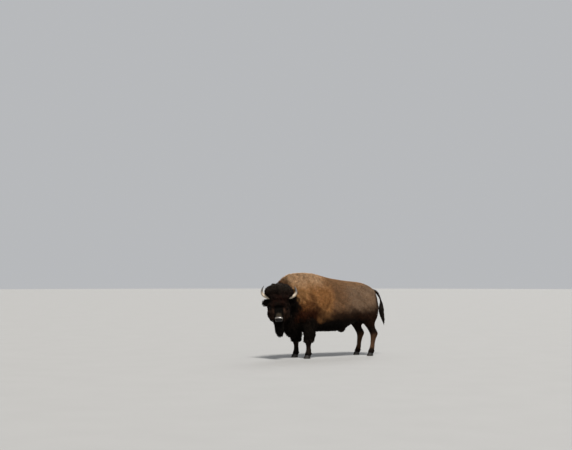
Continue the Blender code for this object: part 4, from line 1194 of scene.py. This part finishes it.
# ---------------------------------------------------------------- materials
class Finish:
    """A material in the making: its nodes, its links and its shader."""

    def __init__(self, name, roughness, specular):
        self.material = bpy.data.materials.new(name)
        self.material.use_nodes = True
        self.nodes = self.material.node_tree.nodes
        self.links = self.material.node_tree.links
        self.inputs = self.nodes["Principled BSDF"].inputs
        self.inputs["Roughness"].default_value = roughness
        self.inputs["Specular IOR Level"].default_value = specular

    def shade(self, socket, value):
        self.links.new(value, self.inputs[socket])

    def place(self):
        return self.nodes.new("ShaderNodeTexCoord").outputs["Object"]

    def stored(self, name, kind="Fac"):
        reader = self.nodes.new("ShaderNodeAttribute")
        reader.attribute_name = name
        return reader.outputs[kind]

    def noise(self, scale, detail, coordinates, stretch=(1, 1, 1), turn=(0, 0, 0)):
        """A noise pattern on the given coordinates, stretched and turned."""
        mapping = self.nodes.new("ShaderNodeMapping")
        mapping.inputs["Scale"].default_value = stretch
        mapping.inputs["Rotation"].default_value = turn
        self.links.new(coordinates, mapping.inputs["Vector"])
        pattern = self.nodes.new("ShaderNodeTexNoise")
        pattern.inputs["Scale"].default_value = scale
        pattern.inputs["Detail"].default_value = detail
        self.links.new(mapping.outputs["Vector"], pattern.inputs["Vector"])
        return pattern.outputs["Fac"]

    def ramp(self, value, *stops):
        """A colour ramp over a value; each stop is a place and a colour or a grey."""
        node = self.nodes.new("ShaderNodeValToRGB")
        elements = node.color_ramp.elements
        while len(elements) < len(stops):
            elements.new(0.5)
        for element, (place, colour) in zip(elements, stops):
            element.position = place
            element.color = (*((colour,) * 3 if isinstance(colour, float) else colour), 1.0)
        self.links.new(value, node.inputs["Fac"])
        return node.outputs["Color"]

    def mixed(self, kind, factor, one, two):
        """Two colours mixed by a kind of blend; the factor is a number or a socket."""
        node = self.nodes.new("ShaderNodeMix")
        node.data_type = "RGBA"
        node.blend_type = kind
        if isinstance(factor, (int, float)):
            node.inputs["Factor"].default_value = factor
        else:
            self.links.new(factor, node.inputs["Factor"])
        for socket, value in (("A", one), ("B", two)):
            place = next(s for s in node.inputs if s.name == socket and s.type == "RGBA")
            if isinstance(value, tuple):
                place.default_value = (*value, 1.0)
            else:
                self.links.new(value, place)
        return next(s for s in node.outputs if s.type == "RGBA")

    def bump(self, height, strength, distance):
        node = self.nodes.new("ShaderNodeBump")
        node.inputs["Strength"].default_value = strength
        node.inputs["Distance"].default_value = distance
        self.links.new(height, node.inputs["Height"])
        self.shade("Normal", node.outputs["Normal"])


def hair_material():
    """Wool and hair: the coat's own colour, finely streaked along each lock, and matt."""
    wool = Finish("bison_wool", 0.72, 0.05)
    strands = wool.noise(1.0, 3.0, wool.stored("Strand", "Vector"), (11.0, 1.6, 53.0))
    streaks = wool.ramp(strands, (0.32, 0.52), (0.68, 1.12))
    wool.shade("Base Color", wool.mixed("MULTIPLY", 1.0, wool.stored("Coat", "Color"), streaks))
    return wool.material


def skin_material(name, specular):
    """Hide under short flat hair, streaked like it and darkened as painted shade of the coat over it, or the
    pebbled skin of the nose; specular says how damp it looks.
    """
    skin = Finish(name, 0.75, specular)
    where = skin.place()
    along = skin.noise(1.0, 3.0, where, (330, 55, 210), (math.radians(20), 0, 0))
    down = skin.noise(1.0, 3.0, where, (330, 330, 60))
    lie = skin.mixed("MIX", skin.stored("Downward"), along, down)
    # streaks like lying hair, and painted shade: the hide is darkened to about half, as in the shadow of the
    # coat over it
    streaks_and_painted_shade = skin.ramp(lie, (0.28, 0.36), (0.72, 0.74))
    hide = skin.mixed("MULTIPLY", 1.0, skin.stored("Coat", "Color"), streaks_and_painted_shade)
    cells = skin.nodes.new("ShaderNodeTexVoronoi")
    cells.inputs["Scale"].default_value = 420.0
    skin.links.new(where, cells.inputs["Vector"])
    pebbles = skin.ramp(cells.outputs["Distance"], (0.0, 1.0), (0.6, 0.35))
    nose = skin.stored("Nose")
    damp = skin.mixed("MULTIPLY", 0.35, skin.stored("Coat", "Color"), pebbles)
    skin.shade("Base Color", skin.mixed("MIX", nose, hide, damp))
    skin.shade("Roughness", skin.ramp(nose, (0.1, 0.85), (0.9, 0.30)))
    smoothed = skin.mixed("MIX", 0.86, pebbles, (0.5, 0.5, 0.5))
    skin.bump(skin.mixed("MIX", nose, lie, smoothed), 0.55, 0.0022)
    return skin.material


def horn_material():
    """Pale streaked horn, dull where it leaves the hair and slate towards its tip; the pale stretch is partly
    its own colour and partly a painted highlight.
    """
    horn = Finish("bison_horn", 0.34, 0.5)
    where = horn.place()
    # the pale stretch near the base is partly the horn's own colour and partly a painted highlight
    tone = horn.ramp(horn.stored("Growth"), (0.0, (0.40, 0.32, 0.23)), (0.26, (0.70, 0.60, 0.46)),
                     (0.52, (0.42, 0.35, 0.27)), (0.72, (0.085, 0.078, 0.070)), (1.0, (0.030, 0.029, 0.030)))
    streaks = horn.noise(60.0, 6.0, where, (1, 1, 0.35))
    faded = horn.ramp(streaks, (0.30, 0.55), (0.70, 1.0))
    horn.shade("Base Color", horn.mixed("MULTIPLY", 0.85, tone, faded))
    horn.shade("Roughness", horn.ramp(streaks, (0.3, 0.48), (0.7, 0.28)))
    horn.bump(horn.noise(190.0, 4.0, where, (1, 1, 0.25)), 0.35, 0.0012)
    return horn.material


def hoof_material():
    """Black worn horn, scuffed all over and dusty where it meets the ground."""
    hoof = Finish("bison_hoof", 0.5, 0.22)
    where = hoof.place()
    split = hoof.nodes.new("ShaderNodeSeparateXYZ")
    hoof.links.new(where, split.inputs["Vector"])
    wear = hoof.ramp(split.outputs["Z"], (0.0, (0.040, 0.033, 0.026)), (0.022, (0.014, 0.012, 0.011)),
                     (0.08, (0.008, 0.007, 0.006)))
    scuffs = hoof.noise(85.0, 5.0, where, (1, 1, 3.0))
    faded = hoof.ramp(scuffs, (0.3, 0.6), (0.7, 1.0))
    hoof.shade("Base Color", hoof.mixed("MULTIPLY", 0.8, wear, faded))
    hoof.shade("Roughness", hoof.ramp(scuffs, (0.3, 0.72), (0.7, 0.48)))
    hoof.bump(scuffs, 0.4, 0.0012)
    return hoof.material


def eye_material():
    """A wet dark brown eye with a level pupil and a paler edge to the iris."""
    eye = Finish("bison_eye", 0.06, 0.4)
    eye.inputs["Coat Weight"].default_value = 0.5
    eye.inputs["Coat Roughness"].default_value = 0.02
    iris = eye.ramp(eye.stored("Lean"), (0.0, (0.020, 0.009, 0.004)), (0.52, (0.060, 0.026, 0.011)),
                    (0.68, (0.012, 0.006, 0.004)), (0.95, (0.022, 0.015, 0.012)))
    grain = eye.ramp(eye.noise(520.0, 3.0, eye.place()), (0.3, 0.45), (0.7, 1.0))
    iris = eye.mixed("MULTIPLY", 0.6, iris, grain)
    pupil = eye.ramp(eye.stored("Slot"), (0.22, 1.0), (0.27, 0.0))
    eye.shade("Base Color", eye.mixed("MIX", pupil, iris, (0.002, 0.002, 0.002)))
    return eye.material


def floor_material():
    """Pale studio floor with a faint cast."""
    floor = Finish("pale_floor", 0.9, 0.2)
    cast = floor.noise(1.2, 3.0, floor.place())
    floor.shade("Base Color", floor.ramp(cast, (0.3, (0.206, 0.206, 0.204)), (0.7, (0.212, 0.212, 0.210))))
    return floor.material


# ---------------------------------------------------------------- studio
CAMERA_PLACE = (21.420, -13.296, 1.85)
CAMERA_AZIMUTH = 60.0          # the camera looks along this turn from -Y towards +X, degrees
CAMERA_RISE = 2.13             # how far it looks up, degrees
CAMERA_LENS = 75.0
FLOOR_RADIUS = 90.0
SKY = (0.95, 0.97, 1.0)
SKY_STRENGTH = 0.50
# name, azimuth, height, softness in degrees, power and colour of each lamp
LAMPS = (
    ("key", 74.0, 60.0, 14.0, 7.0, (1.0, 0.965, 0.91)),
    ("back", 222.0, 36.0, 30.0, 1.3, (0.96, 0.98, 1.0)),
)


def add_floor():
    form = bmesh.new()
    bmesh.ops.create_circle(form, cap_ends=True, segments=96, radius=FLOOR_RADIUS)
    floor = add_object("floor", mesh_of(form, "floor"))
    floor.data.materials.append(floor_material())


def add_light(name, azimuth, height, softness, power, colour):
    """A distant soft lamp, turned from -Y towards +X by azimuth and lifted by height, in degrees."""
    lamp = bpy.data.lights.new(name, "SUN")
    lamp.angle = math.radians(softness)
    lamp.energy = power
    lamp.color = colour
    thing = add_object(name, lamp)
    turn, lift = math.radians(azimuth), math.radians(height)
    place = Vector((math.sin(turn) * math.cos(lift), -math.cos(turn) * math.cos(lift), math.sin(lift)))
    thing.location = place * 8.0
    thing.rotation_euler = place.to_track_quat("Z", "Y").to_euler()


def add_studio():
    world = bpy.data.worlds.new("studio")
    bpy.context.scene.world = world
    world.use_nodes = True
    sky = world.node_tree.nodes["Background"]
    sky.inputs["Color"].default_value = (*SKY, 1.0)
    sky.inputs["Strength"].default_value = SKY_STRENGTH
    for lamp in LAMPS:
        add_light(*lamp)
    lens = bpy.data.cameras.new("camera")
    lens.lens = CAMERA_LENS
    lens.sensor_width = 36.0
    lens.clip_end = 400.0
    camera = add_object("camera", lens)
    camera.location = CAMERA_PLACE
    camera.rotation_euler = (math.radians(90 + CAMERA_RISE), 0.0, math.radians(CAMERA_AZIMUTH))
    bpy.context.scene.camera = camera
    bpy.context.scene.view_settings.view_transform = "Standard"


# ---------------------------------------------------------------- the whole animal
def settle(piece, slot, *nodes):
    """Fix a piece to the body and hide the solids that it stands for; slot, the finish it takes, is not used.
    """
    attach(piece, "root")
    if nodes:
        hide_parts(*nodes)


def build():
    skin = skin_object()
    p = places(points_of(skin.data))
    ears = vertex_values(skin.data, "ear")
    paint(skin.data, "Coat", markings(points_of(skin.data), p, ears))
    store(skin.data, "Nose", nose_pad(p))
    store(skin.data, "Downward", np.maximum(ramp(p.z, 0.72, 0.55), head_mask(p)))
    skin.data.materials.append(skin_material("bison_hide", 0.08))
    skin.data.materials.append(skin_material("damp_nose", 0.34))
    naked = np.maximum(nose_pad(p), ramp(lid_gap(p), 0.026, 0.024))[triangles_of(skin.data)].mean(axis=1)
    skin.data.polygons.foreach_set("material_index", (naked > 0.3).astype(np.int32))
    skin.data.shade_smooth()
    wool = hair_material()
    coats = coat_objects(skin, wool)
    settle(skin, "coat", *FLESH, *EARS)
    for coat in coats:
        brown = coat.name.startswith(("coat_of_the_flanks", "coat_of_the_cape"))
        settle(coat, "coat" if brown else "dark_coat")
    horn_finish = horn_material()
    eye_finish = eye_material()
    for name, side in SIDES:
        horn = horn_object("ringed_horn_" + name, side)
        horn.data.materials.append(horn_finish)
        settle(horn, "horn", "horn_" + name)
        eye = eye_object(name, side)
        eye.data.materials.append(eye_finish)
        settle(eye, "eye", "eye_" + name)
    hoof_finish = hoof_material()
    for node in [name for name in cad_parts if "claw" in name]:
        hoof = hoof_object(node)
        hoof.data.materials.clear()
        hoof.data.materials.append(hoof_finish)
        settle(hoof, "hoof", node)
    add_floor()
    add_studio()


build()
